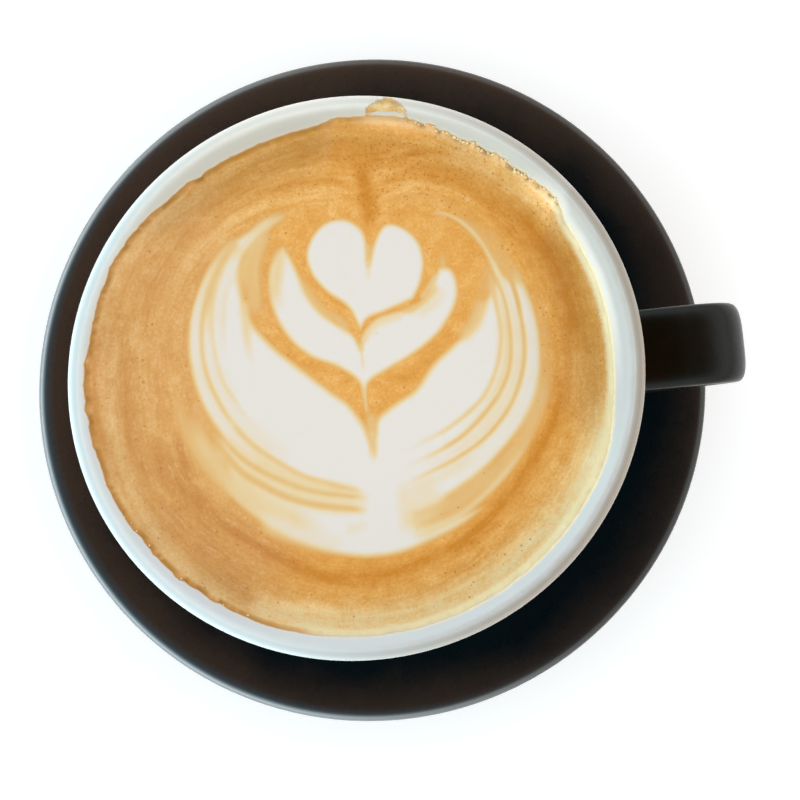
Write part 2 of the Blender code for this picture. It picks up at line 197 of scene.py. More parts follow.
LARGE_LEAF = [
    [(2.1, -15.4), (1.1, -10.6), (-1.9, -5.2), (-5.2, -2.3), (-8.7, 1.0), (-12.2, 4.2), (-15.3, 7.3),
     (-18.0, 10.8), (-19.8, 14.2), (-20.4, 18.0), (-20.6, 21.4), (-19.6, 25.2), (-16.4, 28.8),
     (-11.0, 32.6)],
    [(-11.0, 32.6), (-15.0, 31.8), (-18.6, 30.0), (-21.6, 28.4), (-24.6, 26.0), (-27.6, 21.8),
     (-30.2, 15.8), (-31.6, 9.4), (-31.2, 2.0), (-29.7, -3.2), (-27.8, -7.0), (-25.6, -11.0)],
    [(-25.6, -11.0), (-26.2, -15.4), (-26.0, -20.0), (-23.2, -23.8), (-19.0, -27.6), (-14.4, -30.6),
     (-9.6, -32.8), (-3.0, -34.8), (5.0, -34.9), (12.0, -32.9), (17.2, -30.8), (21.8, -28.0)],
    [(21.8, -28.0), (16.0, -29.6), (12.0, -30.4), (9.2, -30.4)],
    [(9.2, -30.4), (9.2, -27.6)],
    [(9.2, -27.6), (13.0, -26.0), (20.0, -22.3), (26.6, -17.3), (32.2, -11.4), (35.8, -3.6),
     (36.4, 4.6), (35.8, 9.6), (34.4, 14.6)],
    [(34.4, 14.6), (32.6, 16.2), (30.6, 16.6), (28.8, 15.2), (27.6, 13.2), (26.2, 11.0), (24.0, 7.6),
     (19.6, 4.2), (15.2, 0.7), (11.4, -3.7), (6.6, -6.4), (3.3, -9.0), (2.1, -15.4)],
]  # fmt: skip

# The figures from the lowest to the topmost, each with half the width of its soft edge, and how far
# inside its outline the middle of that edge runs
FIGURES = [(LARGE_LEAF, 1.05), (MIDDLE_LEAF, 0.85), (HEART, 0.75)]
FIGURE_INSET = 0.3

# The line that the crema flows round: the whole design's outer edge, with the notch on top
ENVELOPE = [
    [(4.8, 21.0), (5.0, 27.0), (3.0, 31.5), (-2.0, 34.0), (-11.0, 33.5), (-20.0, 29.8), (-27.0, 23.4),
     (-31.0, 15.4), (-32.2, 6.0), (-31.8, -3.0), (-33.0, -11.0), (-30.4, -18.0), (-24.0, -25.0),
     (-15.0, -31.6), (-6.0, -35.4), (4.0, -35.8), (14.0, -32.6), (24.0, -26.2), (31.4, -17.0),
     (35.8, -7.0), (37.2, 3.0), (36.2, 13.0), (32.6, 21.6), (26.6, 28.6), (18.0, 33.4), (10.0, 33.0),
     (6.2, 29.0), (4.8, 21.0)],
]  # fmt: skip

# The crema's streaks: how far right of the middle they turn round, and how many waves fit round that
# point and from the design to the wall
FLOW_MIDDLE = 2.0
FLOW_AROUND = 3.6
FLOW_ACROSS = 14

# A brush stroke: what it paints, how strongly, its width, how wide its soft edge is, over
# what share of its length it fades in and out, and the points it passes through
Stroke = namedtuple("Stroke", "value strength width blur fade_in fade_out points")

# Share of milk in the crema round the figures, from 0 for crema to 1 for milk
MILK_UNDER = [
    # Outside the left ribbons, and inside them
    Stroke(0.27, 0.85, 1.6, 2.8, 0.35, 0.0,
           [(-34.4, 4), (-34.8, -2), (-34.0, -7), (-32.4, -11.6), (-29.8, -16.0), (-26.6, -19.8)]),
    Stroke(0.30, 0.9, 2.8, 3.4, 0.3, 0.3,
           [(-16.8, 11.6), (-17.9, 15), (-18.1, 19), (-17.8, 22.4), (-17.0, 25.2), (-15.4, 28.2),
            (-12.6, 30.8)]),
    # Round the right tip of the middle leaf and above the heart
    Stroke(0.28, 0.9, 1.3, 2.8, 0.1, 0.55, [(18.6, 16.6), (19.2, 19.4), (19.2, 21.8), (18.4, 25.0)]),
    Stroke(0.16, 0.7, 1.6, 1.8, 0.3, 0.3, [(8, 30.5), (10.5, 33), (15, 33.9), (20, 32.8), (25, 29.8)]),
    # Outside the right ribbons, and inside them
    Stroke(0.17, 0.8, 2.2, 2.6, 0.3, 0.1,
           [(34.4, 18), (36.4, 12), (37.6, 4), (37.4, -2), (36.2, -6.6), (33.6, -11.6), (31.2, -15.2)]),
    Stroke(0.14, 0.85, 3.0, 3.6, 0.2, 0.4, [(24.6, 9.4), (26.2, 14), (27.0, 19), (26.4, 23.0)]),
    # Crescent at the lower right
    Stroke(0.25, 0.95, 3.6, 2.6, 0.0, 0.3,
           [(8.6, -29), (13, -27.5), (16.4, -26.2), (20.4, -24.0), (24.2, -21.2), (27.6, -18)]),
    Stroke(0.26, 0.9, 2.8, 2.6, 0.35, 0.25,
           [(20, -25.0), (24.4, -22.0), (28.0, -18.8), (31.2, -15.2), (34.0, -11.0), (35.8, -6),
            (36.8, -1)]),
]  # fmt: skip

# Share of milk painted over the figures: lines of crema through them, and milk lines in those
MILK_OVER = [
    # Left arm of the middle leaf, the crema beside it, and tan streaks between it and the ribbons
    Stroke(0.50, 0.9, 2.4, 2.4, 0.3, 0.5,
           [(-11.0, 28.0), (-11.4, 27.0), (-12.4, 24.6), (-13.2, 21.6), (-13.9, 18.4), (-13.7, 15.4),
            (-12.8, 12.6)]),
    Stroke(0.06, 0.8, 0.4, 2.4, 0.2, 0.3,
           [(-12.4, 28.4), (-14.0, 25.4), (-15.2, 22), (-15.9, 18), (-15.6, 14), (-14.2, 11)]),
    Stroke(0.50, 0.5, 0.5, 0.9, 0.3, 0.3, [(-15.8, 27.4), (-17.0, 24), (-17.4, 20.6), (-17.0, 16.6)]),
    Stroke(0.20, 0.5, 0.5, 0.9, 0.3, 0.3, [(-18.4, 25.6), (-19.0, 22), (-18.8, 18), (-17.6, 14)]),
    # Between heart and middle leaf: tan on the leaf's side, its stem, and the hook in its right arm
    Stroke(0.33, 0.85, 1.6, 2.6, 0.35, 0.15,
           [(-9.4, 23), (-9.0, 22), (-7.6, 17.8), (-5.2, 13.8), (-2.0, 11.2), (0.5, 8.6)]),
    Stroke(0.62, 0.85, 1.3, 1.8, 0.05, 0.2,
           [(2.2, 6.4), (3.4, 8.2), (5.4, 9.9), (8.4, 10.7), (11.4, 11.1)]),
    Stroke(0.60, 0.9, 0.5, 1.0, 0.25, 0.4, [(1.75, 7.4), (1.75, 4.8), (1.8, 2.4), (1.8, 0.2)]),
    Stroke(0.30, 0.8, 1.2, 1.8, 0.25, 0.3, [(10.2, 12.1), (12.0, 11.8), (13.8, 12.4)]),
    Stroke(0.70, 0.7, 2.0, 2.2, 0.2, 0.3, [(12.6, 10.8), (15.6, 12.0), (17.8, 14.2), (18.8, 16.6)]),
    Stroke(0.34, 0.9, 0.8, 1.5, 0.15, 0.25,
           [(11.4, 12.1), (13.4, 12.5), (15.6, 13.7), (17.2, 15.4), (18.0, 17.2)]),
    Stroke(0.56, 0.85, 0.7, 1.3, 0.2, 0.2, [(13.8, 13.7), (15.4, 15.2), (16.8, 17.1), (18.0, 19.0)]),
    # The heart's notch
    Stroke(0.40, 0.85, 1.0, 1.4, 0.35, 0.0, [(5.2, 26.2), (5.0, 24.4), (4.8, 22.4)]),
    Stroke(0.66, 0.85, 0.6, 1.4, 0.1, 0.5, [(4.8, 22.6), (4.6, 20.6), (4.3, 17.6)]),
    # Slot and stem of the large leaf
    Stroke(0.30, 0.9, 1.8, 2.0, 0.5, 0.0, [(2.3, -6.4), (2.3, -9.0), (2.2, -11.2)]),
    Stroke(0.50, 0.9, 0.7, 1.8, 0.1, 0.7, [(2.2, -10.4), (2.0, -14.2), (1.9, -19.0)]),
    Stroke(0.92, 0.8, 0.4, 1.4, 0.5, 0.3, [(1.9, -13.6), (1.9, -16.0), (1.9, -18.0)]),
    Stroke(0.40, 0.6, 0.8, 0.9, 0.0, 0.3, [(1.4, -2.6), (1.5, -5), (1.7, -8)]),
    # A speck of coffee on the milk
    Stroke(0.45, 0.8, 0.3, 0.5, 0.0, 0.0, [(4.9, 8.0), (5.2, 8.05)]),
    # Base of the large leaf on the left: creamy, and whiter towards the stem
    Stroke(0.47, 0.95, 3.2, 2.6, 0.3, 0.35,
           [(-32.8, -1), (-32.2, -5.4), (-31.0, -9.8), (-29.0, -13.8), (-26.6, -17.4), (-23.4, -21.2),
            (-20, -24.6), (-15, -27.8)]),
    Stroke(0.60, 0.85, 3.6, 3.4, 0.2, 0.3,
           [(-27.4, -14.6), (-24.2, -18.6), (-20.6, -21.8), (-17, -24.6), (-12, -27.6), (-7, -29.6)]),
    Stroke(0.78, 0.6, 3.0, 3.0, 0.2, 0.2, [(-22, -25.6), (-16, -28.8), (-10, -31.2), (-4, -32.4)]),
    Stroke(0.78, 0.8, 2.0, 2.4, 0.3, 0.3, [(-5.6, -29.0), (-2.4, -29.2), (0.2, -28.0)]),
    Stroke(0.56, 0.92, 5.6, 2.8, 0.12, 0.22,
           [(-28.0, -8.4), (-24.4, -12.8), (-20, -16.7), (-16, -19.4), (-12, -21.3), (-8, -22.7),
            (-4, -23.7), (1.0, -24.6)]),
    Stroke(0.78, 0.7, 3.6, 2.4, 0.5, 0.15,
           [(-14, -20.6), (-10, -22.2), (-6, -23.4), (-2, -24.2), (1.4, -24.8)]),
    Stroke(0.15, 0.95, 1.2, 2.2, 0.15, 0.6,
           [(-31.9, 1), (-31.0, -3), (-29.4, -7), (-27.3, -10.8), (-24.4, -14.6), (-20.2, -18.4)]),
    # Left ribbons: their creamy ground, the tan at their tops, then the lines from the outside in
    Stroke(0.84, 0.85, 5.4, 4.0, 0.3, 0.3,
           [(-27.2, 18), (-28.0, 12), (-27.9, 6), (-26.9, 0), (-24.8, -5.4), (-21.6, -10), (-17, -13.8),
            (-11, -17)]),
    Stroke(0.36, 0.92, 2.6, 2.4, 0.1, 0.5,
           [(-19.4, 29.2), (-22.4, 26.9), (-24.4, 24), (-25.8, 21), (-26.9, 17.4), (-27.7, 13.6),
            (-27.9, 8)]),
    Stroke(0.46, 0.85, 1.6, 3.4, 0.3, 0.3,
           [(-20.2, 17.5), (-20.0, 21), (-19.0, 24.4), (-16.2, 28.2), (-12.2, 31.4)]),
    Stroke(0.36, 0.92, 0.9, 1.1, 0.1, 0.15,
           [(-20.4, 28.4), (-23.7, 25), (-25.4, 22), (-27.3, 18), (-28.6, 14), (-29.1, 10), (-29.1, 6),
            (-28.4, 2), (-27, -2), (-25, -6), (-22.8, -9.2)]),
    Stroke(0.43, 0.92, 1.2, 1.2, 0.1, 0.14,
           [(-25, -6), (-22.8, -9.3), (-20, -12.3), (-16, -15.5), (-12, -18.2), (-8, -19.9),
            (-4, -21.4), (0.4, -22.8)]),
    Stroke(0.84, 0.92, 0.9, 1.0, 0.30, 0.5,
           [(-20.6, 29.7), (-22.2, 28), (-24.6, 25), (-26.8, 22), (-28.9, 18), (-30.2, 14), (-30.6, 10),
            (-30.5, 6), (-29.8, 2), (-28.5, -2), (-26.6, -6), (-24, -9.8), (-21.6, -12.6),
            (-19.2, -14.8), (-16, -17.1), (-12, -19.4)]),
    Stroke(0.66, 0.9, 0.9, 1.0, 0.2, 0.4,
           [(-22.6, -11.5), (-19.2, -14.8), (-16, -17.2), (-12, -19.4), (-8, -20.9), (-4, -21.9)]),
    Stroke(0.56, 0.85, 0.7, 1.1, 0.25, 0.4,
           [(-25.2, 20), (-26.2, 17), (-26.7, 14), (-26.9, 10), (-26.6, 6), (-25.8, 2), (-23.9, -2),
            (-21.6, -6), (-18.2, -9.4)]),
    Stroke(0.42, 0.95, 1.6, 2.6, 0.45, 0.3, [(-8.4, 33.2), (-12.6, 32.5), (-15.4, 31.3), (-18, 29.4)]),
    Stroke(0.66, 0.9, 0.7, 1.2, 0.3, 0.0,
           [(-11.4, 32.8), (-14.4, 31.8), (-17, 29.9), (-19.0, 28.0), (-21.2, 25.4)]),
    Stroke(0.88, 0.9, 1.3, 1.2, 0.1, 0.2,
           [(-20.6, 25.8), (-22.9, 22), (-24.6, 18), (-25.4, 14), (-25.5, 10), (-25.2, 6)]),
    Stroke(0.72, 0.8, 0.8, 1.1, 0.25, 0.4,
           [(-19.8, 24.6), (-21.6, 22), (-23.6, 18), (-24.4, 14), (-24.5, 10), (-23.8, 5)]),
    Stroke(0.97, 0.8, 1.0, 1.2, 0.4, 0.4,
           [(-20.2, 22.4), (-22.2, 18), (-23.0, 14), (-22.8, 9), (-21.6, 3)]),
    Stroke(0.58, 0.85, 1.5, 1.6, 0.1, 0.6,
           [(-20.2, 17.4), (-20.2, 13.6), (-20.2, 10), (-20.0, 6), (-19.4, 1)]),
    # Lines that fan out across the base, left of the stem
    Stroke(0.30, 0.92, 1.0, 1.1, 0.25, 0.12,
           [(-29.6, -5.4), (-27, -9.4), (-24, -13.1), (-20, -16.4), (-16, -18.8), (-12, -20.8),
            (-8, -22.0), (-4, -22.9), (0.8, -23.9)]),
    Stroke(0.68, 0.88, 0.9, 0.9, 0.25, 0.12,
           [(-29.2, -7.4), (-27, -10.4), (-24, -14.5), (-20, -17.8), (-16, -20.2), (-12, -22.0),
            (-8, -23.2), (-4, -24.0), (-0.6, -24.8)]),
    Stroke(0.28, 0.95, 1.2, 1.2, 0.25, 0.12,
           [(-29, -8.8), (-27, -11.9), (-24, -16.1), (-20, -19.2), (-16, -21.7), (-12, -23.4),
            (-8, -24.5), (-4, -25.3), (0.8, -26.4)]),
    # Right ribbons: their creamy ground, the tan at their tops, then the lines from the inside out
    Stroke(0.28, 0.85, 1.6, 3.8, 0.15, 0.15, [(27.0, 13.2), (29.2, 15.8), (31.8, 16.6), (34.4, 15.2)]),
    Stroke(0.78, 0.85, 5.6, 4.0, 0.3, 0.3,
           [(30.2, 13.4), (31.4, 10), (31.8, 4), (31.0, -2), (28.6, -7.4), (24.4, -12), (18.4, -16),
            (12, -18.6)]),
    Stroke(0.18, 0.9, 2.6, 2.6, 0.3, 0.3, [(22, 29.4), (26, 26.0), (29, 22), (31.0, 18), (32, 14.6)]),
    Stroke(0.46, 0.85, 2.2, 2.8, 0.25, 0.25, [(20.6, 4.8), (23.8, 7.6), (25.6, 10.4), (26.6, 13.0)]),
    Stroke(0.26, 0.85, 0.6, 1.0, 0.3, 0.5,
           [(27.4, 21), (28.1, 17.6), (28.5, 14.4), (28.8, 11), (29.0, 7)]),
    Stroke(0.42, 0.9, 0.9, 1.1, 0.1, 0.35,
           [(28.0, 18), (28.5, 14), (29.0, 10), (29.2, 6), (28.6, 2), (27.2, -2), (24.8, -6),
            (21.4, -9), (16, -12.3), (13, -13.5), (9, -15.0), (5, -16)]),
    Stroke(0.28, 0.95, 0.9, 1.0, 0.1, 0.25,
           [(28.2, 21), (29.2, 17.5), (30.1, 14), (30.8, 10), (30.9, 6), (30.7, 2), (29.8, -2),
            (27.8, -5.8), (24.4, -9.6), (20, -13.3), (16, -15.5), (13, -16.7), (10, -17.6),
            (6, -18.8)]),
    Stroke(0.62, 0.85, 0.8, 0.9, 0.3, 0.2,
           [(28.4, 18), (29.1, 14), (29.9, 10), (30.2, 6), (29.9, 2), (28.7, -2), (26.5, -5.8),
            (22.8, -9.4)]),
    Stroke(0.27, 0.95, 0.9, 1.0, 0.08, 0.2,
           [(28.8, 24), (30.3, 20.6), (31.4, 18), (32.5, 14), (33.2, 10), (33.5, 6), (33.4, 2),
            (32.6, -2), (31.0, -6), (28.5, -9.9), (24, -14.3), (20, -16.8), (16, -18.7), (13, -19.8),
            (10, -20.9), (8, -21.7), (5.0, -22.8)]),
    Stroke(0.74, 0.75, 2.2, 2.2, 0.3, 0.3,
           [(24, -16.4), (18, -19.6), (12, -22.0), (8.6, -23.2), (5.0, -24.2)]),
    Stroke(0.15, 0.75, 1.0, 2.2, 0.35, 0.3,
           [(20, 31.2), (23.6, 29.2), (26.6, 26.4), (29.0, 23), (30.6, 18.8)]),
    Stroke(0.64, 0.92, 0.5, 1.0, 0.12, 0.0,
           [(17.4, 30.4), (19.8, 30.3), (22.6, 29.0), (24.8, 27.0), (26.7, 24.5), (28.1, 21.8),
            (29.2, 19), (29.8, 17)]),
    Stroke(0.76, 0.92, 1.1, 1.0, 0.14, 0.3,
           [(27.6, 23), (29.6, 18), (31.0, 14), (31.8, 10), (32.2, 6), (32.1, 2), (31.2, -2),
            (29.7, -5.9), (27.1, -9.7), (24, -12.9), (20, -15.4), (16, -17.2), (13, -18.2), (10, -19.2),
            (6, -20.6)]),
    Stroke(0.24, 0.8, 0.7, 1.8, 0.4, 0.1,
           [(25.6, 29.2), (28.4, 26.4), (30.7, 23.2), (32.2, 20), (33.4, 17), (34.2, 13.6)]),
    Stroke(0.14, 0.9, 0.7, 1.1, 0.35, 0.2,
           [(27.4, 25.6), (29.5, 22.6), (31.0, 19.4), (32.2, 16), (33.0, 12.6), (33.5, 8)]),
    Stroke(0.90, 0.9, 1.5, 1.4, 0.25, 0.2,
           [(32.3, 20.0), (34.0, 14.6), (34.8, 10), (35.3, 6), (35.3, 2), (34.6, -2), (33.2, -6),
            (31.1, -10.2), (28, -14), (24, -18), (20, -20.6), (16, -22.6), (12, -24)]),
    # Cream at the base on the right, the crescent's end and the thin line below it
    Stroke(0.72, 0.85, 3.4, 3.6, 0.45, 0.3, [(4.6, -24.0), (8, -25.4), (12, -25.0), (16, -23.4)]),
    Stroke(0.70, 0.85, 1.4, 4.4, 0.4, 0.4, [(6.6, -19.4), (7.0, -24.0), (7.2, -28.0), (7.6, -33.4)]),
    Stroke(0.54, 0.85, 2.4, 3.0, 0.5, 0.4, [(3.8, -28.8), (8, -29), (12, -28.2), (15, -26.8)]),
    Stroke(0.52, 0.85, 1.0, 3.8, 0.25, 0.25, [(9.2, -25.8), (9.2, -28.8), (9.8, -31.8)]),
    Stroke(0.72, 0.8, 1.4, 1.8, 0.4, 0.5,
           [(5, -31.2), (9, -31.2), (13, -30.4), (17, -28.8), (20.4, -26.8)]),
    Stroke(0.56, 0.9, 1.1, 1.5, 0.35, 0.15,
           [(34.6, -11.6), (31.4, -16.8), (28.0, -20.7), (24.4, -24.0), (19.8, -27.4), (15.2, -30.0),
            (10.8, -31.7), (6, -32.8)]),
    Stroke(1.0, 0.9, 2.0, 2.8, 0.2, 0.05, [(2.7, -18.4), (2.9, -23), (3.0, -29), (3.0, -33)]),
]  # fmt: skip

# Darkness of the crema, from -2 for pale foam to 1 for dark crema
TONES = [
    # Dark ring round the base and up the right side
    Stroke(1.1, 0.95, 2.2, 4.4, 0.1, 0.1,
           [(-41.5, -5), (-39.6, -11), (-36.8, -16.6), (-32.4, -22.4), (-27, -27.3), (-20, -32.6),
            (-14.5, -36.2), (-8, -38.4), (0, -39.2), (8, -37.2), (16, -34.8), (20, -32.6), (24, -29.2),
            (28, -25.4), (31.4, -21.2), (35.6, -15.6), (38.8, -9.8), (40.6, -4.4), (42, 1)]),
    Stroke(1.25, 0.9, 0.9, 2.0, 0.25, 0.15,
           [(-36.2, 9), (-36.2, -2), (-35.2, -11), (-33.2, -18.6), (-27.6, -26.2), (-18.6, -33.0),
            (-9.6, -37.4), (-2, -38.8)]),
    Stroke(0.45, 0.7, 2.0, 3.0, 0.2, 0.2,
           [(-33, -17.6), (-28, -23.4), (-20, -29.6), (-12, -34.2), (-4, -36.4), (5, -36.6),
            (14, -34.6)]),
    Stroke(1.0, 0.9, 5.0, 5.5, 0.25, 0.25,
           [(41.6, -3), (43.0, 4), (43.2, 10), (41.4, 17.5), (38.4, 23), (34.6, 28), (30, 32)]),
    Stroke(0.75, 0.85, 3.6, 5.0, 0.2, 0.2,
           [(38.6, 20), (34.4, 26.4), (28, 32), (21.6, 36.4), (13, 39.6)]),
    # Between the middle and the large leaf
    Stroke(0.5, 0.85, 2.4, 3.0, 0.3, 0.3, [(3.5, -3.5), (8, -1.8), (13, 0.5), (17, 4), (20.5, 8.5)]),
    # Notch on top, and the dark crema above it
    Stroke(0.8, 0.85, 1.6, 3.0, 0.1, 0.35, [(4.2, 45), (4.9, 41), (5.4, 37), (5.6, 32), (5.3, 27.0)]),
    Stroke(0.7, 0.9, 3.4, 4.2, 0.4, 0.35,
           [(-14, 43), (-7, 44.4), (0, 44.6), (6, 43.2), (10.5, 42.4), (16.5, 41)]),
    Stroke(0.8, 0.7, 1.0, 1.6, 0.4, 0.3, [(-20, 36.6), (-12, 38.4), (-4, 39), (2, 37.6), (4.6, 35)]),
    Stroke(0.8, 0.7, 0.9, 1.4, 0.3, 0.4,
           [(7.4, 33.6), (10.6, 37.6), (16, 39.4), (22, 38.4), (28, 34.8)]),
    Stroke(0.9, 0.8, 0.8, 1.2, 0.3, 0.4, [(10, 41), (16, 42.4), (21.6, 41.8), (27, 39.2)]),
    # Darker streaks on the left
    Stroke(0.6, 0.8, 2.2, 3.4, 0.3, 0.3,
           [(-42.6, 12), (-45.2, 4), (-45.2, -5), (-43, -13.4), (-40, -20)]),
    Stroke(0.7, 0.8, 5.0, 5.0, 0.3, 0.3,
           [(-38.4, -8), (-37.0, -14.6), (-34.4, -20.4), (-30.4, -26), (-25, -31)]),
    Stroke(0.3, 0.7, 1.4, 2.0, 0.3, 0.3, [(-33.4, 22), (-35.2, 16), (-36.2, 9), (-36.0, 2)]),
    Stroke(0.3, 0.7, 1.6, 2.2, 0.3, 0.3, [(-40.4, 12), (-37.6, 21), (-32, 29), (-24.4, 35)]),
    Stroke(0.5, 0.7, 8.0, 5.0, 0.3, 0.3,
           [(-42, -16), (-38, -24), (-31, -32), (-22, -38.4), (-12, -42)]),
    # Pale foam towards the wall
    Stroke(-0.6, 0.85, 2.2, 3.2, 0.2, 0.2,
           [(-45.4, 17.6), (-47.2, 6), (-47, -8), (-44.4, -20), (-39.4, -29.4), (-31.8, -37.6),
            (-22, -43.8)]),
    Stroke(-1.4, 0.85, 5.4, 4.6, 0.25, 0.3, [(-27, -40.4), (-21, -43.8), (-14, -46.8), (-7, -48.2)]),
    # Darker right at the left wall: crema, and painted shade cast by the wall
    Stroke(1.0, 0.85, 1.6, 2.4, 0.3, 0.3, [(-49.2, 15), (-50.6, 6), (-50.6, -4), (-49.2, -13)]),
    # Pale foam along the bottom and the right; along the bottom and the lower right it is also painted
    # light where the wall shades the crema, and the palest band right at the wall is also a painted
    # highlight
    Stroke(-1.3, 0.9, 5.4, 5.0, 0.2, 0.15,
           [(-24, -42.6), (-10, -46.6), (2, -47.6), (13, -45.8), (24, -41.2), (33, -35.0)]),
    Stroke(-1.3, 0.9, 5.0, 5.0, 0.2, 0.4,
           [(22, -41.4), (32, -34.6), (38.4, -28.0), (43.6, -20), (46.8, -12), (48.4, -3)]),
    Stroke(-0.55, 0.85, 3.6, 4.4, 0.25, 0.25,
           [(45.6, 19), (40.4, 28), (34.0, 35.2), (26.6, 40.8), (17, 44.8)]),
    Stroke(-1.9, 0.9, 1.8, 3.4, 0.35, 0.25,
           [(-8, -49.4), (4, -50), (15, -48), (26, -43), (35, -35.6), (41.6, -27), (46, -18),
            (48.8, -9), (50, 0)]),
    Stroke(-0.9, 0.85, 1.2, 1.8, 0.2, 0.2,
           [(51.2, -2), (50.6, 9), (47.6, 19.6), (42.6, 29.4), (36, 37.4), (26.6, 44.2), (17, 48)]),
    # Pale foam towards the wall at the upper left
    Stroke(-0.35, 0.7, 3.0, 3.2, 0.25, 0.25,
           [(-42, 24), (-36, 32.4), (-28, 39.4), (-18, 44.6), (-8, 47.6)]),
    # Pale streaks that follow the figures
    Stroke(-0.5, 0.8, 2.0, 2.8, 0.25, 0.15,
           [(-36.5, 9), (-33.8, 19), (-28.6, 27), (-21, 32.6), (-13, 35.6), (-4, 36.4), (1.6, 34.6),
            (3.8, 31.4)]),
    Stroke(-0.35, 0.75, 1.8, 2.4, 0.2, 0.25,
           [(7.2, 31), (9.6, 34.8), (15, 36.2), (21.6, 34.8), (26, 32), (29.6, 28.6)]),
    Stroke(-0.4, 0.8, 2.4, 3.0, 0.25, 0.3, [(-35, 8), (-36.4, 1), (-36, -5), (-34.4, -11)]),
    Stroke(-0.4, 0.7, 1.2, 1.8, 0.3, 0.3, [(-41.0, 16), (-41.6, 8), (-41.4, 0), (-40.4, -6)]),
    # The notch again, across the streaks
    Stroke(1.0, 0.9, 2.0, 3.6, 0.2, 0.35, [(5.2, 42), (5.8, 38), (6.0, 34), (5.7, 28)]),
]  # fmt: skip

# Patches of crema with many pores: centre, radius, and the share of places that hold one there, and the
# low share elsewhere
PORE_PATCHES = [
    (9, 41, 6, 0.8), (18, 40.5, 7, 0.65), (29, 38, 7, 0.4), (39, 27, 7, 0.3), (-3, 42, 7, 0.15),
    (-42, -26, 8, 0.1), (-28, -38, 10, 0.1), (-46, 4, 8, 0.1), (24, -40, 10, 0.12), (44, 4, 9, 0.2),
]  # fmt: skip
PORE_SHARE = 0.015

# Bubbles along the wall: the stretches that have them, each as two angles and the share of all bubbles,
# their radii, the share of big ones and how much bigger those are, how far from the foam's edge and from
# the wall they lie, and what share of its radius a bubble is lowered by
BUBBLY_STRETCHES = [(35, 62, 0.70), (62, 74, 0.20), (198, 226, 0.07), (225, 245, 0.03)]
BUBBLE_RADII = (0.14, 0.34)
BIG_BUBBLES = (0.10, 1.5)
BUBBLE_HEIGHTS = (-0.5, 0.45)
BUBBLE_GAPS = (-0.1, 0.35)
BUBBLE_SUNK = 0.3

# Stain of foam left on the wall, as (degrees round the cup, distance up the wall), and the bare patch
# inside it
SMEAR_OUTLINE = [
    (83.6, 7.6), (82.9, 9.6), (82.4, 12.4), (81.1, 13.5), (79.7, 14.1), (78.1, 15.0), (76.7, 14.4),
    (75.3, 13.6), (74.3, 13.1), (73.6, 11.0), (72.6, 8.6), (71.0, 7.2), (78.0, 6.4), (83.6, 7.6),
]  # fmt: skip
SMEAR_HOLE = [
    (81.9, 9.7), (80.5, 10.7), (78.2, 11.0), (75.9, 11.1), (74.7, 10.7), (74.5, 9.5), (76.0, 8.6),
    (78.2, 8.2), (81.3, 8.4), (81.9, 9.7),
]  # fmt: skip
SMEAR_MIDDLE = 78.0

# Its grid: the angles and the stretch of wall that it covers, its columns and rows, how far its front is
# off the glaze, how much thicker it is inside the outline, and how deep in the wall its back lies
SMEAR_RANGE = ((70.0, 85.0), (6.2, 15.6))
SMEAR_GRID = (150, 96)
SMEAR_LIFT = 0.03
SMEAR_THICKNESS = 0.08
SMEAR_DEPTH = 0.6

# Height from which distances up the wall count, and the height above the coffee that is given to points
# outside the cup
WALL_START = 61.0
NO_WALL = 99.0

# Refractive indices
SAUCER_IOR = 1.39
HANDLE_IOR = 1.26
CUP_IOR = 1.45
COFFEE_IOR = 1.4
STAIN_IOR = 1.4
BUBBLE_IOR = 1.35

# Tint of the black glaze's sheen, and how far above a foot ring's lowest point the glaze begins
GLAZE_SHEEN = (0.62, 0.94, 1.0, 1.0)
GLAZE_START = (0.7, 0.9)

# Scale from pale foam to dark crema, as a tone's lowest value and the whole range
TONE_LOWEST = -2.1
TONE_RANGE = 3.2

# Floor: the radii of its rings, and the points on each
FLOOR_RINGS = (0.001, 200, 500, 1000, 2500)
FLOOR_SEGMENTS = 64


def way(degrees):
    """A direction seen from above, as (cos, sin, 0)."""
    return (math.cos(math.radians(degrees)), math.sin(math.radians(degrees)), 0.0)


# Directions of the window, and those of the lit side where the saucer's brown is painted stronger,
# of the white glaze's painted cool light, of the painted shade on the cup's lip and of the painted
# light on the wall below it
WINDOW_WAY = way(196)
BROWN_LIT_WAY = way(150)
COOL_LIGHT_WAY = way(260)
LIP_SHADE_WAY = way(343)
WALL_LIGHT_WAY = way(16)


def from_display(red, green, blue):
    """A colour given as it shows on a display, from 0 to 255, as the linear one that shaders use."""
    share = np.array([red, green, blue]) / 255
    linear = np.where(share <= 0.04045, share / 12.92, ((share + 0.055) / 1.055) ** 2.4)
    return tuple(float(v) for v in linear)


# Shades of the glazes beside those in the sidebar. The saucer's lip highlight, the cool, shaded
# and lit whites and the lit, warm and shaded lip are painted light and shade; the yellow film is
# partly a painted reflection and the dried line partly painted shade.
HANDLE_BLACK = from_display(16, 12, 1)
HANDLE_BROWN = from_display(30, 13, 3)
SAUCER_LIP_HIGHLIGHT = from_display(38, 64, 74)
COOL_LIGHT_WHITE = from_display(200, 217, 232)
SHADED_WHITE = from_display(96, 98, 98)
LIT_WALL_WHITE = from_display(240, 244, 240)
CUP_LIP_LIT = from_display(217, 234, 237)
CUP_LIP_WARM_LIGHT = from_display(228, 223, 212)
CUP_LIP_SHADE = from_display(166, 156, 143)
YELLOW_FILM_AND_REFLECTION = from_display(246, 230, 176)
DRIED_LINE_AND_SHADE = from_display(182, 133, 60)

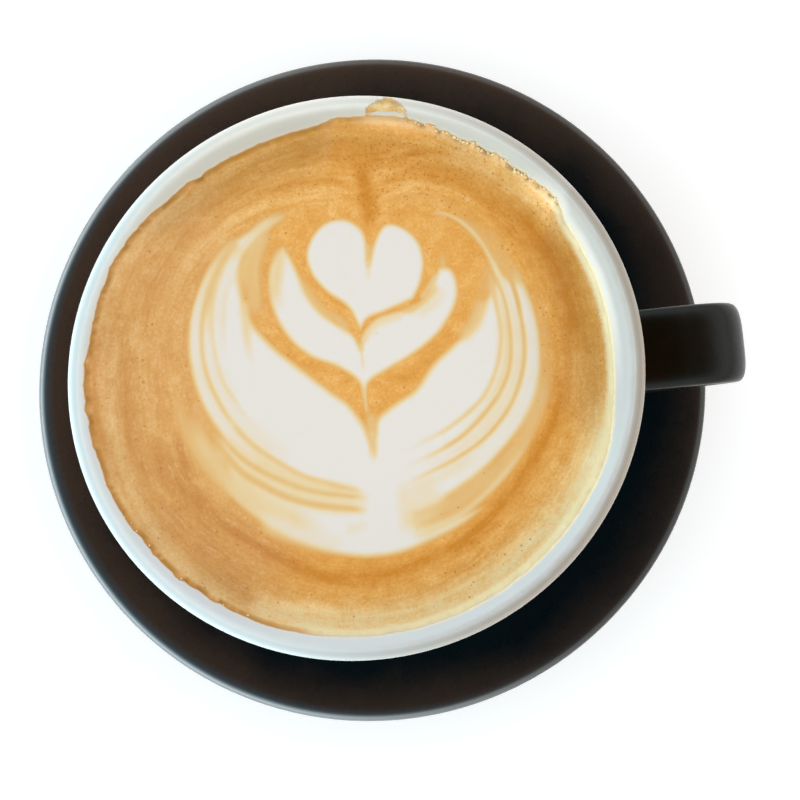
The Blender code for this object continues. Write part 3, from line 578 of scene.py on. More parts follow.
# Shades of the coffee and its foam beside those in the sidebar; the brown edge at the wall is partly
# painted shade
GREY_CREMA = from_display(176, 158, 140)
PALE_FLECKS = from_display(240, 200, 150)
LIGHT_TAN = from_display(226, 179, 114)
PORES = from_display(192, 112, 36)
BROWN_EDGE_AND_SHADE = from_display(186, 132, 54)
BROWN_STAIN = from_display(196, 146, 74)
PALE_STAIN = from_display(231, 203, 145)
BROWN_BUBBLES = from_display(216, 170, 102)
PALE_BUBBLES = from_display(243, 225, 180)


def colour_setting(name, description, colour):
    """A colour property of the sidebar."""
    return FloatVectorProperty(
        name=name, description=description, subtype="COLOR", size=3, min=0, max=1,
        default=from_display(*colour),
    )  # fmt: skip


def length_setting(name, description, length):
    """A length property of the sidebar, from millimetres."""
    return FloatProperty(name=name, description=description, unit="LENGTH", min=0, default=length * MM)


def share_setting(name, description, share):
    """A property from 0 to 1 of the sidebar."""
    return FloatProperty(name=name, description=description, min=0, max=1, default=share)


def strength_setting(name, description, strength):
    """A property of the sidebar for how strong a light is."""
    return FloatProperty(name=name, description=description, min=0, default=strength)


class StonewareSettings(bpy.types.PropertyGroup):
    """Sizes and glazes of the cup, its handle and the saucer."""

    saucer_radius: length_setting("Saucer radius", "From its middle to its edge", SAUCER_RADIUS)
    cup_radius: length_setting("Cup radius", "From its middle to the outside of its rim", CUP_RADIUS)
    strap_width: length_setting("Handle width", "Width of the strap", STRAP_WIDTH)
    strap_thickness: length_setting("Handle thickness", "Thickness of the strap", STRAP_THICKNESS)
    strap_fillet: length_setting("Handle fillet", "Radius where it runs into the cup", STRAP_FILLET)
    black: colour_setting("Black glaze", "Satin glaze of saucer and cup", (3, 13, 18))
    brown: colour_setting("Brown glaze", "The same glaze where it runs thin", (80, 62, 50))
    white: colour_setting("White glaze", "Gloss glaze inside the cup", (200, 207, 203))
    clay: colour_setting("Bare clay", "Unglazed foot rings", (146, 128, 108))
    satin: share_setting("Satin", "Roughness of the black glaze", 0.28)
    gloss: share_setting("Gloss", "Roughness of the white glaze", 0.10)


class CoffeeSettings(bpy.types.PropertyGroup):
    """Colours of the coffee's surface, and the foam at its edge."""

    dark_crema: colour_setting("Dark crema", "Crema where it is darkest", (208, 134, 44))
    crema: colour_setting("Crema", "Crema over most of the surface", (230, 167, 84))
    pale_crema: colour_setting("Pale crema", "Foamy crema near the wall", (255, 213, 144))
    # Also the painted highlight along the foam's edge at the wall
    yellow_foam_and_highlight: colour_setting("Yellow foam", "Thin foam right at the wall", (255, 247, 204))
    tan: colour_setting("Tan", "Crema with a little milk in it", (229, 189, 126))
    cream: colour_setting("Cream", "Where milk and crema have mixed", (233, 209, 164))
    milk: colour_setting("Milk", "Milk foam of the figures", (230, 224, 216))
    sheen: share_setting("Sheen", "Roughness of the wet surface", 0.36)
    edge_bubbles: IntProperty(
        name="Edge bubbles", description="Bubbles along the wall", min=0, default=90
    )  # fmt: skip


class StageSettings(bpy.types.PropertyGroup):
    """Floor, light and camera."""

    floor: colour_setting("Floor", "Colour of the plain floor", (253, 253, 253))
    camera_place: FloatVectorProperty(
        name="Camera", description="Where the camera stands", subtype="TRANSLATION", unit="LENGTH",
        size=3, default=(0.01256, -0.01156, 0.2721),
    )  # fmt: skip
    camera_turn: FloatVectorProperty(
        name="Camera turn", description="How the camera is turned", subtype="EULER", size=3,
        default=(math.radians(1.635), math.radians(1.45), math.radians(-5.8)),
    )  # fmt: skip
    lens: FloatProperty(name="Lens", description="Focal length in millimetres", min=1, default=47.19)
    daylight: strength_setting("Daylight", "Strength of the light all round", 1.3)
    window: strength_setting("Window", "Strength of the window on the left", 1.9)


def smooth_step(low, high, value):
    """0 below low, 1 above high, and in between t^2 (3 - 2 t), with t the way from low to high."""
    t = np.clip((value - low) / (high - low), 0, 1)
    return t * t * (3 - 2 * t)


def smooth_curve(points, spacing):
    """Points about spacing apart on a centripetal Catmull-Rom curve through the given ones: each stretch
    is a cubic whose end slopes are weighted by the square roots of the distances to its neighbours."""
    route = np.array(points, float)
    route = np.vstack([2 * route[0] - route[1], route, 2 * route[-1] - route[-2]])
    found = [route[1:2]]
    for before, start, end, after in zip(route, route[1:], route[2:], route[3:]):
        first, span, last = (math.sqrt(np.linalg.norm(b - a)) for a, b in
                             ((before, start), (start, end), (end, after)))
        leave = (end - start) + span * ((start - before) / first - (end - before) / (first + span))
        arrive = (end - start) + span * ((after - end) / last - (after - start) / (span + last))
        steps = max(1, round(np.linalg.norm(end - start) / spacing))
        t = (np.arange(steps)[:, None] + 1) / steps
        found.append(
            (2 * t**3 - 3 * t**2 + 1) * start + (t**3 - 2 * t**2 + t) * leave
            + (3 * t**2 - 2 * t**3) * end + (t**3 - t**2) * arrive
        )  # fmt: skip
    return np.vstack(found)


def arc(centre, radius, start, end, steps):
    """Points on an arc, centre plus radius times (cos, sin), between two angles in degrees."""
    turn = np.radians(np.linspace(start, end, steps + 1))
    return np.array(centre) + radius * np.stack([np.cos(turn), np.sin(turn)], -1)


def line_distance(places, route):
    """Distance of each place from a line of straight stretches, and how far along it the nearest point
    is, from 0 to 1. On each stretch that point is the place's foot, held between the stretch's ends."""
    best = np.full(len(places), np.inf)
    along = np.zeros(len(places))
    for number, (start, end) in enumerate(zip(route, route[1:])):
        stretch = end - start
        from_start = places - start
        t = np.clip(from_start @ stretch / max(stretch @ stretch, 1e-12), 0, 1)
        apart = from_start - t[:, None] * stretch
        square = np.einsum("ij,ij->i", apart, apart)
        nearer = square < best
        best[nearer] = square[nearer]
        along[nearer] = number + t[nearer]
    return np.sqrt(best), along / (len(route) - 1)


def inside_distance(places, outline):
    """Distance from a closed outline, above 0 inside it. A place is inside when a line from it to the
    right crosses the outline an odd number of times."""
    distance, _ = line_distance(places, outline)
    inside = np.zeros(len(places), bool)
    x, y = places[:, 0], places[:, 1]
    for (x0, y0), (x1, y1) in zip(outline, outline[1:]):
        if y0 == y1:
            continue
        crosses = (y0 > y) != (y1 > y)
        inside ^= crosses & (x < x0 + (y - y0) * (x1 - x0) / (y1 - y0))
    return np.where(inside, distance, -distance)


def closed_outline(runs, spacing=0.8):
    """The closed outline of a figure, its runs laid end to end."""
    return np.vstack([smooth_curve(run, spacing) for run in runs])


def painted(field, places, stroke):
    """A field with a brush stroke laid over it: the field moves towards the stroke's value by its
    strength, less across its soft edge and towards its fading ends."""
    route = smooth_curve(stroke.points, 1.0)
    reach = stroke.width / 2 + stroke.blur / 2
    low, high = route.min(0) - reach, route.max(0) + reach
    near = np.flatnonzero(((places > low) & (places < high)).all(1))
    distance, along = line_distance(places[near], route)
    share = 1 - smooth_step(stroke.width / 2 - stroke.blur / 2, reach, distance)
    share *= stroke.strength
    if stroke.fade_in:
        share *= smooth_step(0, stroke.fade_in, along)
    if stroke.fade_out:
        share *= smooth_step(0, stroke.fade_out, 1 - along)
    result = field.copy()
    result[near] += (stroke.value - field[near]) * share
    return result


def ragged(turn, seed, lowest, highest):
    """An uneven line round the cup, about -1 to 1: a sum of sines of whole numbers of waves, from lowest
    to highest, each a little weaker than the one before and starting anywhere."""
    random = np.random.default_rng(seed)
    waves = np.unique(np.geomspace(lowest, highest, 24).round())
    starts = random.uniform(0, math.tau, len(waves))
    weights = waves**-0.35
    weights /= np.sqrt((weights**2).sum() / 2) * 2
    return np.sin(np.outer(turn, waves) + starts) @ weights


class Shape:
    """A mesh in the making: points, four-sided and three-sided faces, and values at the points."""

    def __init__(self, points, quads, triangles, values=None):
        self.points = np.asarray(points, float)
        self.quads = np.asarray(quads, int).reshape(-1, 4)
        self.triangles = np.asarray(triangles, int).reshape(-1, 3)
        self.values = values or {}

    def volume(self):
        """Six times the volume inside the faces, below 0 where they point inwards: the sum of the triple
        products of each triangle's corners."""
        cut = np.vstack([self.triangles, self.quads[:, [0, 1, 2]], self.quads[:, [0, 2, 3]]])
        a, b, c = (self.points[cut[:, k]] for k in range(3))
        return np.einsum("ij,ij->i", a, np.cross(b, c)).sum()

    def to_mesh(self, name):
        """A smooth Blender mesh in metres, with the faces pointing out and the values as attributes."""
        step = 1 if self.volume() > 0 else -1
        corners = np.concatenate([self.quads[:, ::step].ravel(), self.triangles[:, ::step].ravel()])
        sizes = np.repeat([4, 3], [len(self.quads), len(self.triangles)])
        mesh = bpy.data.meshes.new(name)
        mesh.vertices.add(len(self.points))
        mesh.loops.add(len(corners))
        mesh.polygons.add(len(sizes))
        mesh.vertices.foreach_set("co", (self.points * MM).astype(np.float32).ravel())
        mesh.loops.foreach_set("vertex_index", corners.astype(np.int32))
        mesh.polygons.foreach_set("loop_start", (np.cumsum(sizes) - sizes).astype(np.int32))
        mesh.update(calc_edges=True)
        mesh.shade_smooth()
        for key, value in self.values.items():
            value = np.asarray(value, np.float32)
            kind, field = ("FLOAT", "value") if value.ndim == 1 else ("FLOAT_VECTOR", "vector")
            mesh.attributes.new(key, kind, "POINT").data.foreach_set(field, value.ravel())
        return mesh


def grid_quads(rows, columns, closed):
    """The faces of a grid of points, numbered row by row. A closed grid's last column meets its
    first."""
    index = np.arange(rows * columns).reshape(rows, columns)
    if closed:
        index = np.hstack([index, index[:, :1]])
    return np.stack([index[:-1, :-1], index[:-1, 1:], index[1:, 1:], index[1:, :-1]], -1).reshape(-1, 4)


def fan(ring, tip):
    """Triangles from a closed ring of points to one point."""
    return np.stack([ring, np.roll(ring, -1), np.full(len(ring), tip)], -1)


def turned(profile, values=None):
    """A turned shape: each (radius, height) of the profile becomes a ring, and its two ends are the
    poles. Values along the profile are repeated round each ring."""
    turn = np.arange(SEGMENTS) * math.tau / SEGMENTS
    radius, height = profile[1:-1].T
    rings = np.stack(
        [np.outer(radius, np.cos(turn)), np.outer(radius, np.sin(turn)),
         np.repeat(height[:, None], SEGMENTS, 1)], -1,
    )  # fmt: skip
    count = rings.shape[0] * SEGMENTS
    poles = [(0, 0, profile[0][1]), (0, 0, profile[-1][1])]
    points = np.vstack([rings.reshape(-1, 3), poles])
    index = np.arange(count).reshape(-1, SEGMENTS)
    triangles = np.vstack([fan(index[0][::-1], count), fan(index[-1], count + 1)])
    spread = {
        key: np.concatenate([np.repeat(value[1:-1], SEGMENTS), value[[0, -1]]])
        for key, value in (values or {}).items()
    }
    return Shape(points, grid_quads(rings.shape[0], SEGMENTS, True), triangles, spread)


def made_oval(points, oval=CUP_OVAL, turn=CUP_OVAL_TURN, base=CUP_BASE, height=CUP_HEIGHT):
    """The points stretched along one direction and narrowed across it, by a share that grows from a
    piece's base to its rim."""
    along = np.array([math.cos(turn), math.sin(turn)])
    across = np.array([-along[1], along[0]])
    share = oval * (points[..., 2:] - base) / height
    flat = points[..., :2]
    moved = flat + share * ((flat @ along)[..., None] * along - (flat @ across)[..., None] * across)
    return np.concatenate([moved, points[..., 2:]], -1)


def foot_ring(outer, inner, base, depth):
    """The underside of a rounded foot ring and the recess inside it, ending on the axis."""
    steps = 6
    return np.vstack([
        arc((outer - FOOT_ROUND, base + FOOT_ROUND), FOOT_ROUND, 0, -90, steps),
        arc((inner + FOOT_ROUND, base + FOOT_ROUND), FOOT_ROUND, -90, -180, steps),
        arc((inner - FOOT_ROUND, base + depth - FOOT_ROUND), FOOT_ROUND, 0, 90, steps),
        (inner / 2, base + depth),
        (0, base + depth),
    ])  # fmt: skip


def saucer_profile(radius):
    """The saucer's section, from the middle of its top over the lip to the middle of its underside."""
    well = [(r, SAUCER_WELL_HEIGHT) for r in np.linspace(0, SAUCER_WELL_RADIUS, 9)]
    top = smooth_curve(SAUCER_TOP, PROFILE_STEP)
    lip_centre = (radius - SAUCER_LIP_RADIUS, SAUCER_HEIGHT - SAUCER_LIP_RADIUS)
    lip = arc(lip_centre, SAUCER_LIP_RADIUS, 100, -60, LIP_STEPS)
    underside = smooth_curve(SAUCER_UNDERSIDE, PROFILE_STEP)
    outer, inner, depth = SAUCER_FOOT
    return np.vstack([well, top, lip, underside, foot_ring(outer, inner, 0, depth)])


def cup_lip(radius):
    """The rounded lip of the cup, from its inner side to the outermost point."""
    centre = (radius - CUP_LIP_RADIUS, CUP_BASE + CUP_HEIGHT - CUP_LIP_RADIUS)
    return arc(centre, CUP_LIP_RADIUS, CUP_LIP_START, 0, LIP_STEPS)


def travelled(route):
    """How far along a line each of its points is."""
    return np.concatenate([[0], np.cumsum(np.linalg.norm(np.diff(route, axis=0), axis=1))])


def cup_profile(radius):
    """The cup's section, from the middle of its floor over the lip to the middle of its underside, and
    how far past the lip's outermost point each point is, below 0 on the inside."""
    inside = [(0, CUP_FLOOR), *smooth_curve(CUP_INSIDE, PROFILE_STEP)[::-1]]
    outside = smooth_curve(CUP_OUTSIDE, PROFILE_STEP)[::-1]
    outer, inner, depth = CUP_FOOT
    profile = np.vstack([inside, cup_lip(radius), outside, foot_ring(outer, inner, CUP_BASE, depth)])
    along = travelled(profile)
    return profile, along - along[len(inside) + LIP_STEPS]


INNER_WALL = smooth_curve(CUP_INSIDE, 0.2)[::-1]


def wall_radius(height):
    """Radius of the cup's inner wall at a height, before it is made oval."""
    return np.interp(height, INNER_WALL[:, 1], INNER_WALL[:, 0])


def round_cup(turn, column):
    """A column of the contact table at any angle, along a smooth curve through its rows that closes on
    itself."""
    rows = np.array(CONTACT, float)
    rows = np.vstack([rows[-3:] - (360, 0, 0), rows, rows[:3] + (360, 0, 0)])
    curve = smooth_curve(rows[:, [0, column]], 1.0)
    return np.interp(np.degrees(turn) % 360, curve[:, 0], curve[:, 1])


def coffee_plane(x, y):
    """Height of the coffee's level, a tilted plane."""
    uphill = x * math.cos(COFFEE_UPHILL) + y * math.sin(COFFEE_UPHILL)
    return COFFEE_LEVEL + math.tan(COFFEE_TILT) * uphill


def sector(turn, start, end, soft):
    """1 between two angles in degrees round the cup, and 0 elsewhere, with soft ends."""
    middle, half = (start + end) / 2, (end - start) / 2
    away = np.abs((np.degrees(turn) - middle + 180) % 360 - 180)
    return 1 - smooth_step(half - soft, half + soft, away)


def by_stretches(turn, all_round, stretches):
    """A value that is the same all round the cup, plus what each stretch adds between its two angles."""
    value = all_round
    for more, start, end, soft in stretches:
        value = value + more * sector(turn, start, end, soft)
    return value


def fringe(turn):
    """How far the foam's edge runs up and down the wall, ragged where it is bubbly."""
    return by_stretches(turn, RAGGED_ALL_ROUND, RAGGED_STRETCHES) * ragged(turn, 5, *FRINGE_WAVES)


def crust_and_shade_share(turn):
    """How strong the brown line along the wall is at any angle: dried crema, and painted shade where the
    foam meets the wall.
    """
    return by_stretches(turn, CRUST_AND_SHADE_ALL_ROUND, CRUST_AND_SHADE_STRETCHES)


def contact_height(turn):
    """Height at which the foam meets the wall, at any angle."""
    radius = wall_radius(COFFEE_LEVEL)
    level = coffee_plane(radius * np.cos(turn), radius * np.sin(turn))
    return level + round_cup(turn, 1) + fringe(turn)


def coffee_height(x, y, turn, edge):
    """Height of the coffee's surface: its level, plus the foam's climb to the wall, which falls off as a
    bell curve, plus the film right at the wall and its ragged fringe."""
    climb = round_cup(turn, 1) - MENISCUS_RISE
    reach = round_cup(turn, 2)
    return (
        coffee_plane(x, y)
        + climb * np.exp(-((edge / reach) ** 2))
        + MENISCUS_RISE * np.exp(-edge / MENISCUS_WIDTH)
        + fringe(turn) * np.exp(-((edge / FRINGE_REACH) ** 2))
    )


def milk_share(places):
    """How much milk shows at each place: the pale crema, then the figures with their soft edges, then
    the lines through them."""
    share = np.zeros(len(places))
    for stroke in MILK_UNDER:
        share = painted(share, places, stroke)
    for runs, soft in FIGURES:
        inside = inside_distance(places, closed_outline(runs)) - FIGURE_INSET
        share += (1 - share) * smooth_step(-soft, soft, inside)
    for stroke in MILK_OVER:
        share = painted(share, places, stroke)
    return share


def crema_tone(places):
    """How dark the crema is at each place."""
    tone = np.zeros(len(places))
    for stroke in TONES:
        tone = painted(tone, places, stroke)
    return tone


def crema_flow(places, edge):
    """Coordinates for streaks that run round the figures and along the wall: the direction from the
    middle as a point on a circle, and the way from the figures' outer line to the wall."""
    around = np.arctan2(places[:, 1], places[:, 0] - FLOW_MIDDLE)
    outside = np.maximum(-inside_distance(places, closed_outline(ENVELOPE, 1.2)), 0)
    across = outside / (outside + edge + 0.01)
    circle = [FLOW_AROUND * np.cos(around), FLOW_AROUND * np.sin(around)]
    return np.stack([*circle, FLOW_ACROSS * across], -1)


def pore_share(places):
    """The share of places that hold a pore: higher in a few patches, each a bell curve."""
    share = np.full(len(places), PORE_SHARE)
    for x, y, radius, most in PORE_PATCHES:
        share += most * np.exp(-((places - (x, y)) ** 2).sum(1) / radius**2)
    return share


def disc_grid(rings):
    """A square grid bent into a disc: square rings become round ones, and the way along a side becomes
    the angle. Gives radius, from 0 to 1, and angle."""
    side = np.linspace(-1, 1, 2 * rings + 1)
    a, b = (v.ravel() for v in np.meshgrid(side, side))
    wide = np.abs(a) > np.abs(b)
    radius = np.where(wide, a, b)
    safe = np.where(radius == 0, 1, radius)
    turn = np.where(wide, b / safe, 2 - a / safe) * math.pi / 4
    turn = np.where(radius < 0, turn + math.pi, turn)
    return np.abs(radius), turn % math.tau


def coffee_shape():
    """The coffee: its surface as a disc grid out to the wall, then rings down the wall to the floor."""
    radius, turn = disc_grid(COFFEE_RINGS)
    contact = contact_height(turn)
    border = wall_radius(contact) + WALL_REACH
    edge = (1 - radius) * border
    flat = np.stack([radius * border * np.cos(turn), radius * border * np.sin(turn), contact], -1)
    places = made_oval(flat)[:, :2]
    drawn = places - FIGURES_AT
    share = milk_share(drawn)
    height = coffee_height(places[:, 0], places[:, 1], turn, edge)
    top = np.column_stack([places, height + MILK_RELIEF * (share - 0.5) * (share > 0)])
    columns = 2 * COFFEE_RINGS + 1
    outer = np.flatnonzero(radius > 1 - 0.5 / COFFEE_RINGS)
    outer = outer[np.argsort(turn[outer])]
    down = []
    for level in COFFEE_SIDE:
        reach = wall_radius(level) + WALL_REACH
        ring = [reach * np.cos(turn[outer]), reach * np.sin(turn[outer]), np.full(len(outer), level)]
        down.append(made_oval(np.stack(ring, -1)))
    points = np.vstack([top, *down, [(0, 0, CUP_FLOOR - WALL_REACH)]])
    rings = np.vstack([outer, np.arange(len(top), len(points) - 1).reshape(len(down), -1)])
    quads = [grid_quads(columns, columns, False)]
    for upper, lower in zip(rings, rings[1:]):
        quads.append(np.stack([np.roll(upper, -1), upper, lower, np.roll(lower, -1)], -1))
    below = len(points) - len(top)
    grey = sector(turn, *GREY_SECTOR) * smooth_step(*GREY_REACH, radius * border)
    values = {
        "milk": np.append(share, np.zeros(below)),
        "tone": np.append(crema_tone(drawn), np.full(below, 1.0)),
        "edge": np.append(edge, np.zeros(below)),
        "grey": np.append(grey, np.ones(below)),
        "pores": np.append(pore_share(drawn), np.zeros(below)),
        "crust": np.append(crust_and_shade_share(turn), np.ones(below)),
        "flow": np.vstack([crema_flow(drawn, edge), np.zeros((below, 3))]),
    }
    triangles = fan(rings[-1][::-1], len(points) - 1)
    return Shape(points, np.vstack(quads), triangles, values)


class Socket:
    """An output of a material's node. Maths on it adds Math nodes."""

    def __init__(self, finish, socket):
        self.finish = finish
        self.socket = socket

    def maths(self, operation, *others):
        """This socket and others, put through a Math node."""
        inputs = dict(enumerate([self, *others]))
        return self.finish.node("ShaderNodeMath", {"operation": operation}, inputs)

    def flipped(self, operation, other):
        """Another value and this socket, in that order, put through a Math node."""
        return self.finish.node("ShaderNodeMath", {"operation": operation}, {0: other, 1: self})

    def __add__(self, other):
        return self.maths("ADD", other)

    __radd__ = __add__

    def __mul__(self, other):
        return self.maths("MULTIPLY", other)

    __rmul__ = __mul__

    def __sub__(self, other):
        return self.maths("SUBTRACT", other)

    def __rsub__(self, other):
        return self.flipped("SUBTRACT", other)

    def __lt__(self, other):
        return self.maths("LESS_THAN", other)

    def step(self, low, high):
        """0 at low and 1 at high, smooth in between."""
        settings = {"interpolation_type": "SMOOTHSTEP"}
        inputs = {"Value": self, "From Min": low, "From Max": high, "To Min": 0.0, "To Max": 1.0}
        if low > high:
            inputs.update({"From Min": high, "From Max": low, "To Min": 1.0, "To Max": 0.0})
        return self.finish.node("ShaderNodeMapRange", settings, inputs)


class Graph:
    """Shader nodes in the making, of a material or of the world."""

    def __init__(self, tree):
        self.tree = tree

    def feed(self, socket, value):
        """Links a socket to another, or sets its value."""
        if isinstance(value, Socket):
            self.tree.links.new(value.socket, socket)
        elif hasattr(value, "__len__") and len(value) == 3 and socket.type == "RGBA":
            socket.default_value = (*value, 1.0)
        else:
            socket.default_value = value

    def node(self, kind, settings=None, inputs=None, output=0):
        """Adds a node: first its settings and a ramp's stops, then its inputs' values or links."""
        node = self.tree.nodes.new(kind)
        for key, value in (settings or {}).items():
            if key != "stops":
                setattr(node, key, value)
                continue
            elements = node.color_ramp.elements
            while len(elements) < len(value):
                elements.new(1.0)
            for element, (place, colour) in zip(elements, value):
                element.position = place
                element.color = (*colour, 1.0)
        for key, value in (inputs or {}).items():
            self.feed(node.inputs[key], value)
        return Socket(self, node.outputs[output])

    def noise(self, place, scale, detail=3.0, roughness=0.5):
        """Uneven values about 0, between -0.5 and 0.5."""
        inputs = {"Vector": place, "Scale": scale, "Detail": detail, "Roughness": roughness}
        return self.node("ShaderNodeTexNoise", None, inputs) - 0.5

    def mixed(self, share, first, second):
        """Two colours mixed by a share of the second."""
        inputs = {0: share, 6: first, 7: second}
        return self.node("ShaderNodeMix", {"data_type": "RGBA"}, inputs, output=2)

    def ramp(self, share, stops):
        """Colours along a scale from 0 to 1."""
        return self.node("ShaderNodeValToRGB", {"stops": stops}, {"Fac": share})

    def vectors(self, operation, inputs, output="Vector"):
        """Vectors put through a Vector Math node."""
        return self.node("ShaderNodeVectorMath", {"operation": operation}, inputs, output)

    def reach(self, vector):
        """How far from the axis a point is."""
        return self.vectors("LENGTH", {0: self.vectors("MULTIPLY", {0: vector, 1: (1, 1, 0)})}, "Value")

    def towards(self, vector, direction):
        """How far a vector points in a direction."""
        return self.vectors("DOT_PRODUCT", {0: vector, 1: direction}, "Value")

    def part(self, vector, axis):
        """One part of a vector."""
        return self.node("ShaderNodeSeparateXYZ", None, {0: vector}, output=axis)


class Finish(Graph):
    """A material in the making."""

    def __init__(self, name):
        self.material = bpy.data.materials.new(name)
        self.material.use_nodes = True
        super().__init__(self.material.node_tree)
        self.shader = self.tree.nodes["Principled BSDF"]

    def set(self, **inputs):
        """Sets or links inputs of the Principled shader, by their names with underscores."""
        for key, value in inputs.items():
            self.feed(self.shader.inputs[key.replace("_", " ")], value)

    def place(self):
        """The point on the object, in millimetres."""
        coordinates = self.node("ShaderNodeTexCoord", output="Object")
        return self.vectors("SCALE", {0: coordinates, "Scale": 1 / MM})

    def value(self, name):
        """A number that the mesh holds at its points."""
        return self.node("ShaderNodeAttribute", {"attribute_name": name}, output="Fac")

    def vector(self, name):
        """A vector that the mesh holds at its points."""
        return self.node("ShaderNodeAttribute", {"attribute_name": name}, output="Vector")

    def bump(self, height, strength=1.0):
        """Relief from a height in millimetres."""
        inputs = {"Height": height, "Distance": MM, "Strength": strength}
        return self.node("ShaderNodeBump", None, inputs)

    def unevenness(self, place):
        """Broad clouds and fine specks, in which a glaze runs thinner or thicker."""
        return self.noise(place, 0.05, 3.0, 0.6), self.noise(place, 0.9, 4.0, 0.7)

    def footed(self, place, base, colour, clay):
        """A glaze's colour that gives way to bare clay at the foot ring, which stands at a height."""
        low, high = GLAZE_START
        return self.mixed(self.part(place, "Z").step(base + high, base + low), colour, clay)


def black_glaze(name, settings, ior):
    """Satin black stoneware glaze in the making, with a faint orange-peel surface, and its place."""
    finish = Finish(name)
    place = finish.place()
    peel = finish.noise(place, 0.7, 2.0) * 0.020 + finish.noise(place, 5.0, 2.0) * 0.003
    finish.set(
        Roughness=finish.noise(place, 0.4) * 0.10 + settings.satin, IOR=ior,
        Specular_Tint=GLAZE_SHEEN, Normal=finish.bump(peel),
    )  # fmt: skip
    return finish, place


def handle_glaze(settings):
    """The handle's black glaze, a little brown in patches."""
    finish, place = black_glaze("handle_glaze", settings, HANDLE_IOR)
    cloud, speck = finish.unevenness(place)
    thin = (cloud * 1.6 + speck * 0.5 + 0.4).step(0.0, 1.0)
    finish.set(Base_Color=finish.mixed(thin, HANDLE_BLACK, HANDLE_BROWN))
    return finish.material


def saucer_glaze(settings):
    """The saucer's black glaze: it turns brown towards the lip, where it runs thin, and the foot is bare
    clay. The brown is painted stronger on the lit upper left and weaker on the shaded right, and
    towards the window the lip is glossier and painted with a bluish highlight."""
    finish, place = black_glaze("saucer_glaze", settings, SAUCER_IOR)
    cloud, speck = finish.unevenness(place)
    reach = finish.reach(place)
    # The brown is the glaze's own colour where it runs thin; how strong it is by side is painted light
    # and shade, more on the lit upper left and less on the shaded right
    brown_lit_side = finish.towards(place, BROWN_LIT_WAY) * (1 / SAUCER_RADIUS)
    windowwards = finish.towards(place, WINDOW_WAY) * (1 / SAUCER_RADIUS)
    thin = (reach + cloud * 9.0 + speck * 3.0 + brown_lit_side * 2.0).step(66.0, 78.0)
    colour = finish.mixed(thin * (brown_lit_side * 0.3 + 0.7), settings.black, settings.brown)
    # Towards the window the lip is glossier, and its colour is a painted bluish highlight
    gloss_and_highlight = reach.step(76.0, 78.4) * windowwards.step(-0.5, 0.6)
    colour = finish.mixed(gloss_and_highlight * 0.8, colour, SAUCER_LIP_HIGHLIGHT)
    finish.set(Base_Color=finish.footed(place, 0.0, colour, settings.clay))
    finish.set(Coat_Weight=gloss_and_highlight, Coat_Roughness=0.34, Coat_IOR=2.2)
    return finish.material


def tinted_white(finish, place, along, settings):
    """The white glaze before anything dries on it, with painted light and shade: a painted cool light
    on one side, painted shade away from the window, and a lip painted lighter and cooler than the
    wall, with painted warm light on one side and painted shade on another."""
    cool_light_side, grey, window = (
        finish.towards(place, direction) * (1 / CUP_RADIUS)
        for direction in (COOL_LIGHT_WAY, LIP_SHADE_WAY, WINDOW_WAY)
    )
    # Painted cool light on one side, and painted shade on the side away from the window
    white = finish.mixed(cool_light_side.step(-1.0, 1.0), settings.white, COOL_LIGHT_WHITE)
    white = finish.mixed(window.step(1.0, -1.0) * 0.2, white, SHADED_WHITE)
    # The lip, painted lighter and cooler than the wall, with painted warm light on one side and painted
    # shade on the right, away from the window
    lip = finish.mixed(cool_light_side.step(-0.3, -0.95) * 0.8, CUP_LIP_LIT, CUP_LIP_WARM_LIGHT)
    lip = finish.mixed(grey.step(-0.45, 0.9), lip, CUP_LIP_SHADE)
    return finish.mixed((along + finish.noise(place, 0.3, 2.0)).step(-5.0, -1.6), white, lip)


def cup_glaze(settings):
    """The cup's glazes: white gloss inside and over the lip, satin black outside, bare clay at the foot.
    Just above the coffee the white carries painted light on the side that faces the window, a pale
    yellow that is partly a dried film of crema and partly a painted reflection of it, and a brown line
    that is dried crema and painted shade."""
    finish = Finish("cup_glaze")
    place = finish.place()
    cloud, speck = finish.unevenness(place)
    thin = (cloud * 0.9 + speck * 0.4 + 0.1).step(0.0, 1.0)
    black = finish.mixed(thin, settings.black, settings.brown)
    black = finish.footed(place, CUP_BASE, black, settings.clay)
    along = finish.value("way")
    white = tinted_white(finish, place, along, settings)
    above = finish.value("above")
    # Painted light on the wall just above the coffee, on the side that faces the window
    pale = finish.towards(place, WALL_LIGHT_WAY) * (1 / CUP_RADIUS)
    white = finish.mixed(pale.step(0.82, 0.99) * above.step(5.0, 1.5) * 0.8, white, LIT_WALL_WHITE)
    patchy = finish.noise(place, 0.7, 3.0)
    # Pale yellow just above the coffee: partly a dried film of crema, partly a painted reflection of the
    # crema
    film = above.step(1.8, 0.0) * (patchy * 1.2 + 0.75).step(0.0, 1.0) * finish.value("film")
    white = finish.mixed(film, white, YELLOW_FILM_AND_REFLECTION)
    # Brown line where the foam meets the wall: dried crema, and painted shade in that crease
    brown_line_and_shade = (above + patchy * 0.6).step(0.65, 0.2) * finish.value("crust")
    white = finish.mixed(brown_line_and_shade * 0.9, white, DRIED_LINE_AND_SHADE)
    outside = (along + finish.noise(place, 0.25, 2.0) * 0.5).step(-0.12, 0.12)
    peel = finish.noise(place, 0.5, 2.0) * 0.012
    finish.set(
        Base_Color=finish.mixed(outside, white, black),
        Roughness=outside * (settings.satin - settings.gloss) + settings.gloss,
        IOR=CUP_IOR,
        Normal=finish.bump(peel),
    )
    return finish.material


